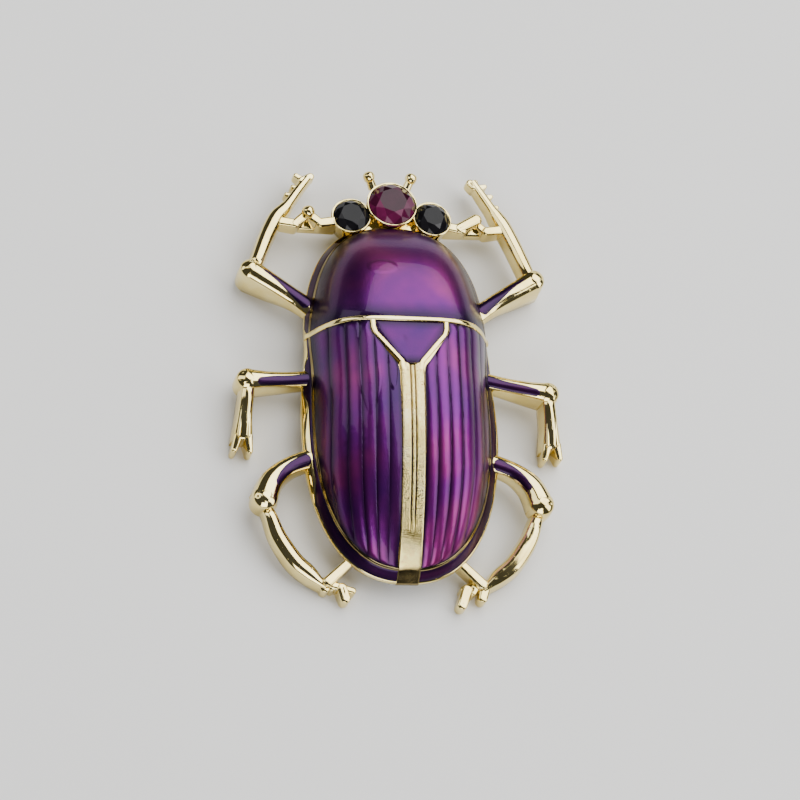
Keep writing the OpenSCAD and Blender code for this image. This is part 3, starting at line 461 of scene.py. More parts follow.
def makeShell(gold):
    # one closed surface: down the hollow to the rim, up the skirt, over the ridge and up the dome
    shares = np.linspace(0, 1, 15) ** 1.3
    loops = domeLoops(ridgeOutline(body["wall"] * 1.2), shares[::-1], -enamel["depth"] - body["wall"])
    for inset, up in ((body["rimW"], 0.5), (body["rimW"] - 0.06, 0.05), (body["rimW"] - 0.12, 0), (0.1, 0),
                      (0.0, 0.1)):
        loops.append(flat(baseOutline(inset), body["rimZ"] + up))
    base = baseOutline(0)
    bare = bareShare(base)
    bumps = ripple(base[:, 0], base[:, 1], 3, 12, 0.8, 3.5)
    loops += [skirtLoop(0, -0.02), skirtLoop(bare * 0.3, 0.03 + 0.02 * bumps), skirtLoop(bare * 0.85, 0.03),
              skirtLoop(bare, 0.01), skirtLoop(bare, -enamel["margin"]),
              skirtLoop(ridgeShare, -enamel["margin"])]
    lift = 0.045 + 0.05 * bumps  # the ridge's height varies a little
    ridgeFrom = len(loops)
    for k, z in ((0.0, -0.05), (0.25, 0.7), (0.6, 1.0), (1.0, 0.9)):
        loops.append(skirtLoop(ridgeShare + (1 - ridgeShare) * k, lift * z))
    for k, z in ((0.35, 0.95), (0.75, 0.6), (1.0, -0.1)):
        plan = ridgeOutline(lines["ridgeW"] / 2 * k)
        loops.append(flat(plan, domeZ(plan[:, 0], plan[:, 1]) + lift * z))
    ridgeTo = len(loops)
    loops += domeLoops(ridgeOutline(lines["ridgeW"] / 2), shares, -enamel["depth"])
    made = Build()
    loops = np.asarray(loops)
    ids = np.arange(loops.shape[0] * loops.shape[1]).reshape(loops.shape[:2])
    tone = np.ones(loops.shape[:2])
    # tone over 1 darkens the ridge's metal
    tone[ridgeFrom:ridgeTo] = 1.78 + 0.2 * bumps
    made.add(loops, tubeFaces(ids), tone)
    made.finish("metalBody", gold, "gold_metal", ["casting"], 50)


def drapedSlab(made, xs, ys, heights, depth, tone=None, side=1):
    # a sheet that follows the dome: grids of x and y with a height over the dome for each point
    z = domeZ(xs, ys)
    made.slab(np.stack([side * xs, ys, z + heights], -1), np.stack([side * xs, ys, z - depth], -1), tone)


def enamelPiece(name, nodeName, material, xs, ys, heights, tone, side=1):
    made = Build()
    drapedSlab(made, xs, ys, heights, enamel["depth"], tone, side)
    made.finish(name, material, "purple_enamel", [nodeName], 60)


def sweptLine(made, path, width, lift, seed, count=160):
    # a raised line draped on the dome along a path in plan, with a rounded top
    path = np.asarray(path, float)
    run = np.concatenate([[0], np.cumsum(np.linalg.norm(np.diff(path, axis=0), axis=1))])
    at = np.linspace(0, run[-1], count)
    line = np.stack([np.interp(at, run, path[:, k]) for k in (0, 1)], 1)
    for _ in range(3):
        line[1:-1] = (line[:-2] + 2 * line[1:-1] + line[2:]) / 4
    way = np.gradient(line, axis=0)
    way /= np.linalg.norm(way, axis=1)[:, None]
    side = np.stack([way[:, 1], -way[:, 0]], 1)
    wide = width / 2 * (1 + 0.09 * ripple(at * 1.2, at * 0, seed))
    u = np.sin(np.linspace(-1, 1, 15) * np.pi / 2)
    xs = line[:, None, 0] + side[:, None, 0] * wide[:, None] * u
    ys = line[:, None, 1] + side[:, None, 1] * wide[:, None] * u
    bow = np.sqrt(np.maximum(0, 1 - u ** 4))
    top = lift * (1 + 0.12 * ripple(at * 1.1, at * 0 + 1, seed + 5))
    drapedSlab(made, xs, ys, top[:, None] * (1.9 * bow - 0.9), enamel["depth"] + 0.05)


def makeBarAndArms(gold):
    made = Build()
    xs = np.linspace(-body["shoulder"] / 2 - 0.02, body["shoulder"] / 2 + 0.02, 60)
    sweptLine(made, np.stack([xs, barY(xs)], 1), lines["barW"], lines["barH"], 11, 300)
    footX = lines["stripeW"] / 2 - lines["armW"] / 2
    for side in (-1, 1):
        arm = [(lines["armOut"], barY(lines["armOut"])), (lines["armOut"] * 0.985, armBendY + 0.5),
               (lines["armOut"] * 0.93, armBendY - 0.15), (footX + 0.12, -lines["armBack"] + 0.25),
               (footX, -lines["armBack"] - 0.6)]
        sweptLine(made, [(side * x, y) for x, y in arm], lines["armW"], lines["armH"], 20 + side)
    made.finish("barAndArms", gold, "gold_metal", ["casting"], 50)


def makeStripe(stripeGold):
    # two pitted flats with a thread between two grooves, smooth over the tail down to the rim
    half, thread = lines["stripeW"] / 2, lines["threadW"] / 2
    u = np.linspace(-1, 1, 91)
    front = -lines["armBack"] - half / 2 + np.abs(u) * half / 2 + 0.3
    v = np.linspace(0, 1, 420)[:, None]
    ys = front + (-body["back"] - front) * v
    wob = 1 + 0.012 * ripple(ys[:, :1] * 1.4, ys[:, :1] * 0, 41)
    xs = u * half * wob * np.ones_like(ys)
    ax = np.abs(xs)
    smooth = np.clip((lines["smoothFrom"] - ys) / 2.2, 0, 1)
    groove = bell((ax - thread - lines["grooveW"] / 2) / (lines["grooveW"] * 0.6)) * (1 - smooth)
    bead = np.where(ax < thread, np.sqrt(np.maximum(0, 1 - (ax / thread) ** 2)), 0) * (1 - smooth)
    edge = np.clip((half * wob - ax) / 0.14, 0, 1)
    flats = lines["stripeH"] * np.sqrt(edge) - 0.04 + 0.006 * ripple(xs * 1.5, ys * 1.1, 42, 14, 1, 4)
    height = flats + 0.02 * bead - lines["grooveD"] * groove
    turned = np.clip((-body["back"] + body["skirtW"] + 0.35 - ys) / 0.3, 0, 1)
    # tone over 1 darkens the grooves and paints a dark reflection on the end turned down over the tail; under
    # 1 it sets the pits
    tone = np.maximum(0.9 * smooth + 0 * xs, 1 + np.maximum(0.95 * groove, 0.8 * turned))
    tone = np.where((groove < 0.15) & (turned <= 0), 0.9 * smooth, tone)
    made = Build()
    drapedSlab(made, xs, ys, height, enamel["depth"] + 0.02, tone)
    made.finish("stripe", stripeGold, "gold_metal", ["casting"], 60)


def armX(y):
    # outer line of the stripe and the arms at station y, on the right
    foot = lines["stripeW"] / 2
    ys = [-30, -lines["armBack"] - 0.05, armBendY - 0.1, armBendY + 0.35, 30]
    return np.interp(y, ys, [foot, foot + 0.1, lines["armOut"] * 0.94, lines["armOut"], lines["armOut"]])


def meniscus(distance, depth, width=0.28):
    # liquid enamel draws down to its edges
    return -depth * np.exp(-(np.maximum(distance, 0) / width) ** 1.3)


# Wing covers: points across and along, how far the ribs close up at the tail and from where
wing = {"across": 190, "along": 250, "squeeze": 0.28, "squeezeFrom": -10}
# Pools of thick enamel on the left one: place, half width, half length and height
pools = [(4.3, -0.9, 1.05, 4.6, 0.06), (2.0, -0.9, 0.46, 2.5, 0.06)]


def makeElytron(side, material):
    # a grid between the stripe and the ridge, from the bar to the tail, that follows the dome
    name = ("left", "right")[side > 0]
    gap = enamel["gap"]
    u, v = np.linspace(0, 1, wing["across"])[None, :], np.linspace(0, 1, wing["along"])[:, None]
    inset = lines["ridgeW"] / 2 + gap
    low = -body["back"] + body["skirtW"] + inset + 0.02
    along = 1 - np.cos(np.pi / 2 * (1 - (1 - v) ** 1.15))
    y = low + (barY(6) - low) * along + 0 * u
    for _ in range(4):
        inX = armX(y) + gap + np.clip((y + 1.5) / 1.1, 0, 1) * lines["armW"] / 2
        outX = np.maximum(ridgeHalf(y, inset), inX + 0.02)
        x = inX + (outX - inX) * u
        frontY = barY(x) - lines["barW"] / 2 - gap
        y = low + (frontY - low) * along
    # ribs of even pitch, broad with narrow grooves, easing together where the body narrows
    inner = lines["stripeW"] / 2
    reach = body["width"] / 2 - body["skirtW"] - inner
    squeeze = 1 - wing["squeeze"] * np.clip((wing["squeezeFrom"] - y) / 10, 0, 1) ** 1.6
    t = (x - inner) / reach / squeeze * enamel["ribs"] + 0.03 * ripple(y * 0.5, x * 0.1, 50 + side)
    crest = np.abs(np.sin(np.pi * t)) ** 0.6
    toEdge = np.minimum(np.minimum(x - inX, outX - x), np.minimum(frontY - y, 9))
    # on the left the enamel lies thick and level beside the stripe
    thick = bell((x - inner) / 1.9) if side < 0 else 0.35 * bell((x - inner) / 0.9)
    fade = (1 - 0.92 * thick) * np.clip((outX - x) / 0.7, 0.1, 1)
    height = enamel["ribH"] * (crest - 0.7) * fade + meniscus(toEdge, enamel["edgeDip"])
    if side < 0:
        wobble = 0.12 * ripple(x * 1.2, y * 1.2, 33, 8, 0.5, 1.6)
        for atX, atY, wide, long, high in pools:
            pool = np.hypot((x - atX) / wide, (y - atY) / long) + wobble
            height = height + high * (1 - np.clip((pool - 0.88) / 0.16, 0, 1)) ** 0.7
    height = height + (0.02 if side < 0 else 0.012) * ripple(x * 1.2, y * 0.7, 70 + side, 10, 0.6, 2.2)
    # painted highlights, with random variation: pinkish on the crests, toward the tail, beside the stripe and
    # in a broad band on the right; painted shade deep in the grooves and at the edges
    tone = (0.08 + 0.8 * crest ** 2 * fade) * (0.82 + 0.5 * ripple(x * 0.8, y * 0.35, 44 + side, 9, 0.5, 2))
    tone = tone * (1 + 0.5 * np.clip((-3 - y) / 9, 0, 1))
    tone = tone + 0.1 * thick + (0.16 * bell((x - 4) / 3) if side > 0 else 0)
    tone = np.clip(tone * np.clip(toEdge / 0.35, 0.25, 1), 0, 1)
    enamelPiece(name + "WingEnamel", name + "_elytron_enamel", material, x, y, height, tone, side)


# The lens of enamel that stands on the shield, and the dent in the scutellum
shieldLens = {"x": -2.3, "y": 10.1, "long": 1.5, "wide": 0.85, "h": 0.05}
dent = {"x": -0.75, "y": 1.9, "r": 0.3, "long": 1.3, "depth": 0.05}


def makePronotum(material):
    # a grid over the shield, from the bar to the head, that follows the dome
    inset = lines["ridgeW"] / 2 + enamel["gap"]
    headY = body["front"] - body["frontSkirtW"] - inset
    u = np.sin(np.linspace(-1, 1, 240) * np.pi / 2)[None, :]
    v = np.linspace(0, 1, 200)[:, None]
    s = np.sin(v * np.pi / 2)
    y = lines["barAhead"] + 0.6 + (headY - lines["barAhead"] - 0.6) * s + 0 * u
    for _ in range(4):
        half = ridgeHalf(y, inset)
        x = u * half
        backY = barY(x) + lines["barW"] / 2 + enamel["gap"]
        y = backY + (headY - backY) * s
    toEdge = np.minimum(half - np.abs(x), y - backY)
    lens = np.hypot((x - shieldLens["x"]) / shieldLens["long"], (y - shieldLens["y"]) / shieldLens["wide"])
    height = meniscus(toEdge, enamel["edgeDip"]) + 0.02 * ripple(x * 0.8, y * 0.8, 81, 8, 0.4, 1.2)
    height = height + shieldLens["h"] * (1 - np.clip((lens - 0.7) / 0.35, 0, 1) ** 2) * (lens < 1.05)
    # painted highlight: pinkish in the middle of the shield, with painted shade toward its sides and edges
    tone = np.clip(0.62 + 0.25 * ripple(x * 0.5, y * 0.5, 83, 7, 0.4, 1.3), 0, 1)
    tone = tone * np.clip(toEdge / 1.6, 0.2, 1)
    tone = tone * (1 - 0.7 * np.clip((np.abs(u) - 0.5) / 0.4, 0, 1))
    enamelPiece("shieldEnamel", "pronotum_enamel", material, x, y, height, tone)


def makeScutellum(material):
    # a grid between the two arms, from the stripe's point to the bar
    u, v = np.linspace(-1, 1, 120)[None, :], np.linspace(0, 1, 100)[:, None]
    low = -lines["armBack"] + 0.12
    y = low + (barY(2) - low) * v + 0 * u
    for _ in range(4):
        half = np.maximum(armX(y) - lines["armW"] / 2 - enamel["gap"] - 0.05, 0.05)
        half = np.minimum(half, np.maximum(0.04, (y - low) * 1.25 + 0.55))
        x = u * half
        frontY = barY(x) - lines["barW"] / 2 - enamel["gap"]
        y = low + (frontY - low) * v
    toEdge = np.minimum(np.minimum(half - np.abs(x), frontY - y), y - low)
    away = np.hypot(x - dent["x"], (y - dent["y"]) / dent["long"])
    height = meniscus(toEdge, enamel["edgeDip"], 0.3) - dent["depth"] * bell(away / dent["r"])
    # painted shade: deeper toward the edges, lighter in the middle
    tone = np.clip(0.5 * toEdge / 0.9, 0.1, 0.5)
    enamelPiece("scutellumEnamel", "scutellum_enamel", material, x, y, height, tone)


def skirtEnamel(name, material, nodeName, side, fromX, lowY, highY):
    # a strip of enamel on the skirt, from a side distance or station to a station, its section a shallow pool
    base, ridge = baseOutline(0), ridgeOutline(0)
    count = len(base) // 2 + 1
    base, ridge, bare = base[:count], ridge[:count], bareShare(base[:count] * [side, 1])
    run = np.concatenate([[0], np.cumsum(np.linalg.norm(np.diff(base, axis=0), axis=1))])
    start = np.interp(fromX, base[:40, 0], run[:40]) if fromX else np.interp(lowY, base[:, 1], run)
    rows = np.linspace(start, np.interp(highY, base[:, 1], run), 420)
    columns = (base[:, 0], base[:, 1], ridge[:, 0], ridge[:, 1], bare)
    curve = [np.interp(rows, run, q)[:, None] for q in columns]
    t = np.linspace(0, 1, 26)[None, :]
    w = curve[4] + 0.02 + (ridgeShare - 0.02 - curve[4] - 0.02) * t
    x = np.maximum(curve[0] + (curve[2] - curve[0]) * w, fromX)
    y = curve[1] + (curve[3] - curve[1]) * w
    low = edgeZ(curve[1])
    pool = 0.05 * (1 - (2 * t - 1) ** 4) - 0.04 + 0.008 * ripple(x, y, 95, 8, 0.6, 2)
    z = low + (ridgeZ - low) * w
    tone = (0.04 + 0.12 * bell((t - 0.5) / 0.3)) * (1 + 0.8 * ripple(x * 0.4, y * 0.4, 97))
    made = Build()
    made.slab(np.stack([side * x, y, z + pool], -1), np.stack([side * x, y, z - enamel["margin"]], -1),
              np.clip(tone, 0, 1))
    made.finish(name, material, "purple_enamel", [nodeName], 60)


# Legs: knees and feet are places; a root is a share of its knee's Y, the middle one is a Y of its own, and
# the struts meet the body at a share of its back
leg = {"kneeZ": 4.3, "frontW": 2.1, "midW": 1.7, "hindW": 2.1, "draft": 0.08, "crown": 0.5, "bevel": 0.16,
       "frontKnee": (14.7, 11.5), "frontClaw": (8.8, 23.4), "midFoot": (15.9, -7.6), "midFootW": 2.3,
       "hindKnee": (14.0, -12.8), "hindClaw": (5.4, -23.4), "rightRootAhead": 0.5, "rightKneeBack": 0.5,
       "midKnee": (15.4, -0.4), "midRootY": 0.1, "strutW": 1.1,
       "frontRoot": 0.62, "hindRoot": 0.65, "strutBack": 0.88}


def spline(rows, t):
    # a smooth curve through the rows, by the four rows nearest to each place
    rows = np.asarray(rows, float)
    last = len(rows) - 1
    at = np.minimum(last - 1e-4, t * last)
    i = np.floor(at).astype(int)
    f = (at - i)[:, None]
    p0, p1 = rows[np.maximum(0, i - 1)], rows[i]
    p2, p3 = rows[i + 1], rows[np.minimum(last, i + 2)]
    return 0.5 * (2 * p1 + (p2 - p0) * f + (2 * p0 - 5 * p1 + 4 * p2 - p3) * f ** 2
                  + (3 * p1 - p0 - 3 * p2 + p3) * f ** 3)


def legLine(a, b, w, rows, count=60):
    # stations from a to b, each with a place, a half width, an underside and a top, from a table's shares
    a, b = np.asarray(a, float), np.asarray(b, float)
    along = b - a
    side = np.array([along[1], -along[0]])
    row = spline(rows, np.linspace(0, 1, count))
    place = a + along * row[:, :1] + side * row[:, 1:2]
    return np.column_stack([place, w / 2 * row[:, 2], np.maximum(0, leg["kneeZ"] * row[:, 3]),
                            leg["kneeZ"] * row[:, 4]])


def lineSides(line):
    # unit vectors across the line, to its right
    way = np.gradient(line[:, :2], axis=0)
    way /= np.linalg.norm(way, axis=1)[:, None]
    return np.stack([way[:, 1], -way[:, 0]], 1)


def crownZ(line, u):
    # the top falls from the middle to the sides, by a share of the half width
    return line[:, 4:5] - leg["crown"] * line[:, 2:3] * np.abs(u) ** 2.2


def legSolid(made, line):
    # sections with a draughted wall, a small bevel and a crowned top
    sides = lineSides(line)
    u = np.linspace(1, -1, 15) * 0.93
    half, low = line[:, 2:3], line[:, 3:4]
    top = crownZ(line, u)
    corner = crownZ(line, np.array([1.0])) - leg["bevel"]
    foot = half + leg["draft"] * (line[:, 4:5] - low)
    across = np.concatenate([-foot, -foot * 0.985, -half], 1)
    height = np.concatenate([low + 0.12, low + 0.5 * (corner - low), corner], 1)
    ring = np.concatenate([across[:, :1] * 0.94, across, half * u[::-1], -across[:, ::-1],
                           -across[:, :1] * 0.94], 1)
    zs = np.concatenate([low, height, top[:, ::-1], height[:, ::-1], low], 1)
    loops = np.concatenate([line[:, None, :2] + sides[:, None, :] * ring[:, :, None], zs[:, :, None]], 2)
    made.loops(loops)


def patchSolid(name, line, rows, side, material, nodeName):
    # enamel let into a thigh's top: its table gives the share along and the two sides
    count = 60
    spread = spline(rows, np.linspace(0, 1, count))
    t = np.linspace(rows[0][0], rows[-1][0], count)
    at = t * (len(line) - 1)
    p = np.stack([np.interp(at, np.arange(len(line)), line[:, k]) for k in range(5)], 1)
    sides = lineSides(p)
    taper = np.sqrt(np.clip(np.minimum(t - rows[0][0], rows[-1][0] - t) / 0.05, 0.02, 1))
    mid, reach = (spread[:, 1] + spread[:, 2]) / 2, (spread[:, 2] - spread[:, 1]) / 2
    w = np.linspace(-1, 1, 18)
    u = mid[:, None] + (reach * taper)[:, None] * w
    z = crownZ(p, u)
    flatTop = 0.05 * (1 - w ** 6)[None, :] * taper[:, None] - 0.02
    xy = (p[:, None, :2] + sides[:, None, :] * (p[:, 2:3] * u)[:, :, None]) * [side, 1]
    top = np.concatenate([xy, (z + flatTop)[:, :, None]], 2)
    bottom = np.concatenate([xy, (z - enamel["patchDepth"])[:, :, None]], 2)
    made = Build()
    made.slab(top, bottom, 0.16 * (1 - np.abs(w)) + 0 * z)
    made.finish(name, material, "purple_enamel", [nodeName], 60)


def ball(made, centre, r, dimple=0.04):
    # a cast knob: a ball whose radius swells and falls three times round
    a = np.linspace(-np.pi / 2, np.pi / 2, 26)[:, None]
    b = np.linspace(0, 2 * np.pi, 40, endpoint=False)[None, :]
    grow = r * (1 + dimple * np.sin(3 * b + 2 * a) * np.cos(a))
    x, y = grow * np.cos(a) * np.cos(b), grow * np.cos(a) * np.sin(b)
    z = grow * np.sin(a) + 0 * b
    made.loops(np.stack([centre[0] + x, centre[1] + y, centre[2] + z], -1))


# Knees: width over the leg's, underside as a share of the knee's height, turn of the raised triangle
knees = {"front": (1.06, 0.11, 0.9), "mid": (1.34, 0.31, 0.2), "hind": (1.2, 0.34, -0.7)}


def knee(made, at, w, kind):
    # the thigh's rounded end, crowned as the thigh is, with a small raised triangle and two pits
    over, low, turn = knees[kind]
    r0 = w * over / 2
    b = np.linspace(0, 2 * np.pi, 72, endpoint=False)
    rho = np.linspace(0.93, 0, 32)[:, None]
    x, y = r0 * rho * np.cos(b), r0 * rho * np.sin(b)
    corners = turn + 2 * np.pi / 3 * np.arange(3)[:, None, None]
    line = np.max(x * np.cos(corners) + y * np.sin(corners), 0) / r0 / 0.36
    spots = turn + np.pi / 3 + np.array([0.5, -0.5])[:, None, None]
    pits = bell(np.hypot(x - 0.66 * r0 * np.cos(spots), y - 0.66 * r0 * np.sin(spots)) / 0.09).sum(0)
    z = leg["kneeZ"] - leg["crown"] * r0 * rho ** 2.2
    z = z + 0.03 * np.clip((1.15 - line) / 0.3, 0, 1) - 0.08 * pits
    corner = leg["kneeZ"] - leg["crown"] * r0 - leg["bevel"]
    foot = leg["kneeZ"] * low
    rows = [(r0 + leg["draft"] * 0.9, foot), (r0 + leg["draft"], foot + 0.12),
            (r0 * 1.01 + leg["draft"], foot + 0.5 * (corner - foot)), (r0, corner)]
    under = [np.stack([q * np.cos(b), q * np.sin(b), np.full(72, h)], -1) for q, h in rows]
    loops = np.concatenate([np.asarray(under), np.stack([x, y, z], -1)])
    made.loops(loops + [at[0], at[1], 0])


def bar(made, a, b, low, highA, highB, dA, dB, bevel=0.13):
    # a bar of metal with rounded ends and bevelled top between two places
    a, b = np.asarray(a, float), np.asarray(b, float)
    way = (b - a) / max(1e-6, np.linalg.norm(b - a))
    side = np.array([way[1], -way[0]])
    n = 18
    t = np.linspace(-np.pi / 2, np.pi / 2, n)
    end = np.concatenate([np.tile(b, (n, 1)), np.tile(a, (n, 1))])
    radius = np.concatenate([np.full(n, dB / 2), np.full(n, dA / 2)])[:, None]
    out = np.concatenate([np.cos(t)[:, None] * way + np.sin(t)[:, None] * side,
                          -np.cos(t)[:, None] * way - np.sin(t)[:, None] * side])
    high = np.concatenate([np.full(n, highB), np.full(n, highA)])
    loops = [flat(end + out * radius * 1.04, low), flat(end + out * radius * 1.08, low + 0.1)]
    for grow, drop in ((1.0, 1.6), (0.96, 0.9), (0.8, 0.35), (0.5, 0.05), (0.05, 0.0)):
        loops.append(flat(end + out * radius * grow, high - bevel * drop))
    made.loops(np.asarray(loops))


def footBar(made, claw, w, one, low, high):
    # a bar from a row of footBars, its heights as shares of the knee's
    claw, one = np.asarray(claw, float), np.asarray(one)
    k = leg["kneeZ"]
    bar(made, claw + w * one[:2], claw + w * one[2:4], k * low, k * high, k * high * 0.93,
        w * one[4], w * one[5])


def root(y):
    # a thigh starts inside the body's wall
    return (float(halfAt(y, 0, 0, 0)) - body["wall"] * 1.25, y)


# Rows of a leg: share along it, shift to its right as a share of its length, width over the leg's, then
# the underside and the top as shares of the knee's height
thighRows = {
    "front": [(0, 0, 0.95, 0.53, 0.84), (0.35, -0.02, 0.86, 0.42, 0.86), (0.7, -0.01, 0.93, 0.24, 0.94),
              (1, 0, 1.04, 0.14, 1)],
    "mid": [(0, 0, 1.08, 0.53, 0.84), (0.35, 0.01, 0.96, 0.42, 0.86), (0.7, 0.01, 1.02, 0.34, 0.93),
            (1, 0, 1.3, 0.34, 1)],
    "hind": [(0, -0.02, 1, 0.53, 0.84), (0.4, -0.15, 0.88, 0.42, 0.88), (0.73, -0.14, 1.02, 0.38, 0.95),
             (1, 0, 1.16, 0.38, 1)]}
# How far the front shin's last five rows bend in, as shares of its length; the two sides differ
bendIn = {"left": (0.015, -0.012, -0.024, -0.042, -0.065), "right": (0.025, 0.02, 0.014, 0.006, -0.002)}
shinRows = {
    "front": [(0.02, -0.01, 0.6, 0.5, 0.8), (0.09, -0.01, 0.62, 0.46, 0.93), (0.3, 0.012, 0.68, 0.44, 0.9),
              (0.5, 0, 0.72, 0.42, 0.86), (0.61, 0, 0.62, 0.4, 0.82), (0.68, 0, 0.46, 0.4, 0.79),
              (0.82, 0, 0.42, 0.39, 0.75), (0.95, 0, 0.36, 0.38, 0.71)],
    "hind": [(0.06, -0.03, 0.56, 0.4, 0.7), (0.12, -0.045, 0.6, 0.38, 0.8), (0.27, -0.092, 0.76, 0.32, 0.74),
             (0.47, -0.107, 0.8, 0.2, 0.66), (0.61, -0.078, 0.74, 0.1, 0.57), (0.7, -0.06, 0.46, 0.05, 0.5),
             (0.76, -0.04, 0.34, 0.04, 0.44)]}
# Rows of an enamel patch: share along the thigh, then the patch's two sides as shares of the half width
patchRows = {
    "front": [(0.14, -0.8, 0.75), (0.4, -0.8, 0.4), (0.65, -0.75, -0.15), (0.85, -0.6, -0.35)],
    "mid": [(0.1, -0.6, 0.86), (0.4, -0.42, 0.88), (0.65, -0.3, 0.88), (0.84, 0, 0.8)],
    "hind": [(0.1, -0.62, 0.86), (0.3, -0.3, 0.88), (0.5, 0.05, 0.88), (0.74, 0.35, 0.84)]}

# Feet: bars from a place to a place in widths from the claw, then the width at each end
footBars = {
    "left": {"front": [(0.1, -0.65, -0.36, -0.38, 0.36, 0.36), (0.02, -0.66, 0.36, -0.38, 0.36, 0.28),
                       (0.26, -1.1, 0.54, -1.0, 0.4, 0.24), (0.56, -1.52, 0.87, -1.42, 0.4, 0.24),
                       (0.82, -2.1, 1.07, -1.98, 0.42, 0.26)],
             "hind": [(1.4, 1.27, -0.08, 0.86, 0.42, 0.32), (0.44, 0.98, 0.29, 0.5, 0.5, 0.5),
                      (1.34, 1.24, 1.24, 0.98, 0.48, 0.46), (0.98, 1.14, 0.9, 0.98, 0.36, 0.3)]},
    "right": {"front": [(0.2, -0.55, 0.02, -0.36, 0.46, 0.42), (0.2, -0.5, 0.28, -0.3, 0.34, 0.3),
                        (0.44, -0.64, 0.74, -0.5, 0.4, 0.24), (0.72, -1.16, 1.02, -1.04, 0.4, 0.24),
                        (1.0, -1.74, 1.28, -1.62, 0.4, 0.24)],
              "hind": [(1.4, 1.27, 0.3, 1.0, 0.42, 0.4), (0.44, 1.0, 0.16, 0.26, 0.54, 0.48),
                       (1.34, 1.22, 1.18, 0.62, 0.52, 0.46), (0.78, 1.08, 0.7, 0.9, 0.4, 0.36)]}}
footHeights = {"front": (0.36, 0.71), "hind": (0, 0.42)}  # underside and top, as shares of the knee's


def thighAndShin(made, kind, rootY, kneeAt, foot, rows):
    w = leg[kind + "W"]
    thigh, shin = legLine(root(rootY), kneeAt, w, thighRows[kind]), legLine(kneeAt, foot, w, rows)
    legSolid(made, thigh)
    legSolid(made, shin)
    knee(made, kneeAt, w, kind)
    return thigh, shin


def frontLeg(made, name):
    kneeAt, claw = leg["frontKnee"], leg["frontClaw"]
    rows = np.array(shinRows["front"])
    rows[3:, 1] = bendIn[name]
    thigh, shin = thighAndShin(made, "front", kneeAt[1] * leg["frontRoot"], kneeAt, claw, rows)
    for one in footBars[name]["front"]:
        footBar(made, claw, leg["frontW"], one, *footHeights["front"])
    return thigh, shin


def hindLeg(made, name):
    # the foot is tied to the tail by a strut
    kneeAt, claw, w = leg["hindKnee"], leg["hindClaw"], leg["hindW"]
    thigh = thighAndShin(made, "hind", kneeAt[1] * leg["hindRoot"], kneeAt, claw, shinRows["hind"])[0]
    for one in footBars[name]["hind"]:
        footBar(made, claw, w, one, *footHeights["hind"])
    y = -body["back"] * leg["strutBack"]
    foot = (claw[0] + w * 1.12, claw[1] + w * 1.22)
    bar(made, foot, (float(halfAt(y, 0.6, 0.6, 0.6)), y), body["rimZ"] * 0.35, body["rimZ"],
        body["rimZ"] + body["bandH"], leg["strutW"], leg["strutW"] * 0.8)
    return thigh


def midLeg(made, name):
    # the shin widens to a foot of two toes, with two raised lines on its top
    right = name == "right"
    kneeX, kneeY = leg["midKnee"]
    kneeAt = np.array([kneeX, kneeY - (leg["rightKneeBack"] if right else 0)])
    foot = np.array(leg["midFoot"])
    spread = leg["midFootW"] / leg["midW"] - 0.86
    rows = [(0.08, 0.01, 0.78, 0.36, 0.82), (0.17, 0.01, 0.76, 0.34, 0.92), (0.5, 0, 0.86, 0.2, 0.78),
            (0.75, 0, 0.86 + spread * 0.5, 0.08, 0.64), (0.83, 0, 0.86 + spread * 0.6, 0.04, 0.57)]
    rootY = leg["midRootY"] + (leg["rightRootAhead"] if right else 0)
    thigh = thighAndShin(made, "mid", rootY, kneeAt, foot, rows)[0]
    way = (foot - kneeAt) / np.linalg.norm(foot - kneeAt)
    across = np.array([way[1], -way[0]])
    start, lineFrom = kneeAt + (foot - kneeAt) * 0.78, kneeAt + (foot - kneeAt) * 0.28
    high = leg["kneeZ"]
    for s in (-1, 1):
        toe = foot + across * s * (leg["midFootW"] / 2 - 0.36) - way * 0.3
        bar(made, start + across * s * 0.5, toe, 0, high * 0.6, high * 0.46, 0.9, 0.62)
        bar(made, lineFrom + across * s * 0.3, start + across * s * 0.5, high * 0.3, high * 0.85, high * 0.63,
            0.3, 0.4, 0.14)
    return thigh


# Stones: diameters, places ahead of the middle and above the ground, and how they lean
stone = {"d": 4.9, "sideD": 3.75, "ahead": 19.05, "sideBack": 1.3, "gap": 0.1, "z": 4.4, "sideZ": 4.0,
         "lean": 8, "sideLean": 5, "cupH": 2.3}
# Feelers: width, knob, and where they bend, rise and dip as shares of the way to the shin
feeler = {"w": 0.8, "knobD": 1.15, "bend": 0.24, "knob": 0.45, "dip": 0.66}


def sideOut():
    # how far out the side stones sit: they clear the middle one by the gap
    return math.sqrt(((stone["d"] + stone["sideD"]) / 2 + stone["gap"]) ** 2 - stone["sideBack"] ** 2)


def seats():
    # middle, right and left: place, diameter, lean to the tail and lean to the side
    out, y, lean = sideOut(), stone["ahead"] - stone["sideBack"], stone["lean"]
    return [((0, stone["ahead"], stone["z"]), stone["d"], lean, 0),
            ((out, y, stone["sideZ"]), stone["sideD"], lean, stone["sideLean"]),
            ((-out, y, stone["sideZ"]), stone["sideD"], lean, -stone["sideLean"])]


def seatSpin(seat):
    aside = Matrix.Rotation(math.radians(seat[3]), 3, "Y")
    return np.array(aside @ Matrix.Rotation(math.radians(-seat[2]), 3, "X"))


def horn(made):
    # a short round rod with a knob, leaning out from the middle stone's cup
    r = stone["d"] / 2
    foot = np.array([r * 0.7, stone["ahead"] + r * 0.85, stone["z"] - stone["cupH"] * 0.4])
    tip = np.array([r * 0.9, stone["ahead"] + r * 1.27, stone["z"] - stone["cupH"] * 0.15])
    t = np.linspace(0, 1, 12)[:, None, None]
    b = np.linspace(0, 2 * np.pi, 28, endpoint=False)
    way = (tip - foot) / np.linalg.norm(tip - foot)
    one = np.cross(way, [0, 0, 1.0])
    one /= np.linalg.norm(one)
    two = np.cross(way, one)
    ring = np.cos(b)[:, None] * one + np.sin(b)[:, None] * two
    made.loops(foot + (tip - foot) * t + ring[None] * feeler["w"] * (0.62 - 0.1 * t))
    ball(made, tip, feeler["knobD"] * 0.54)


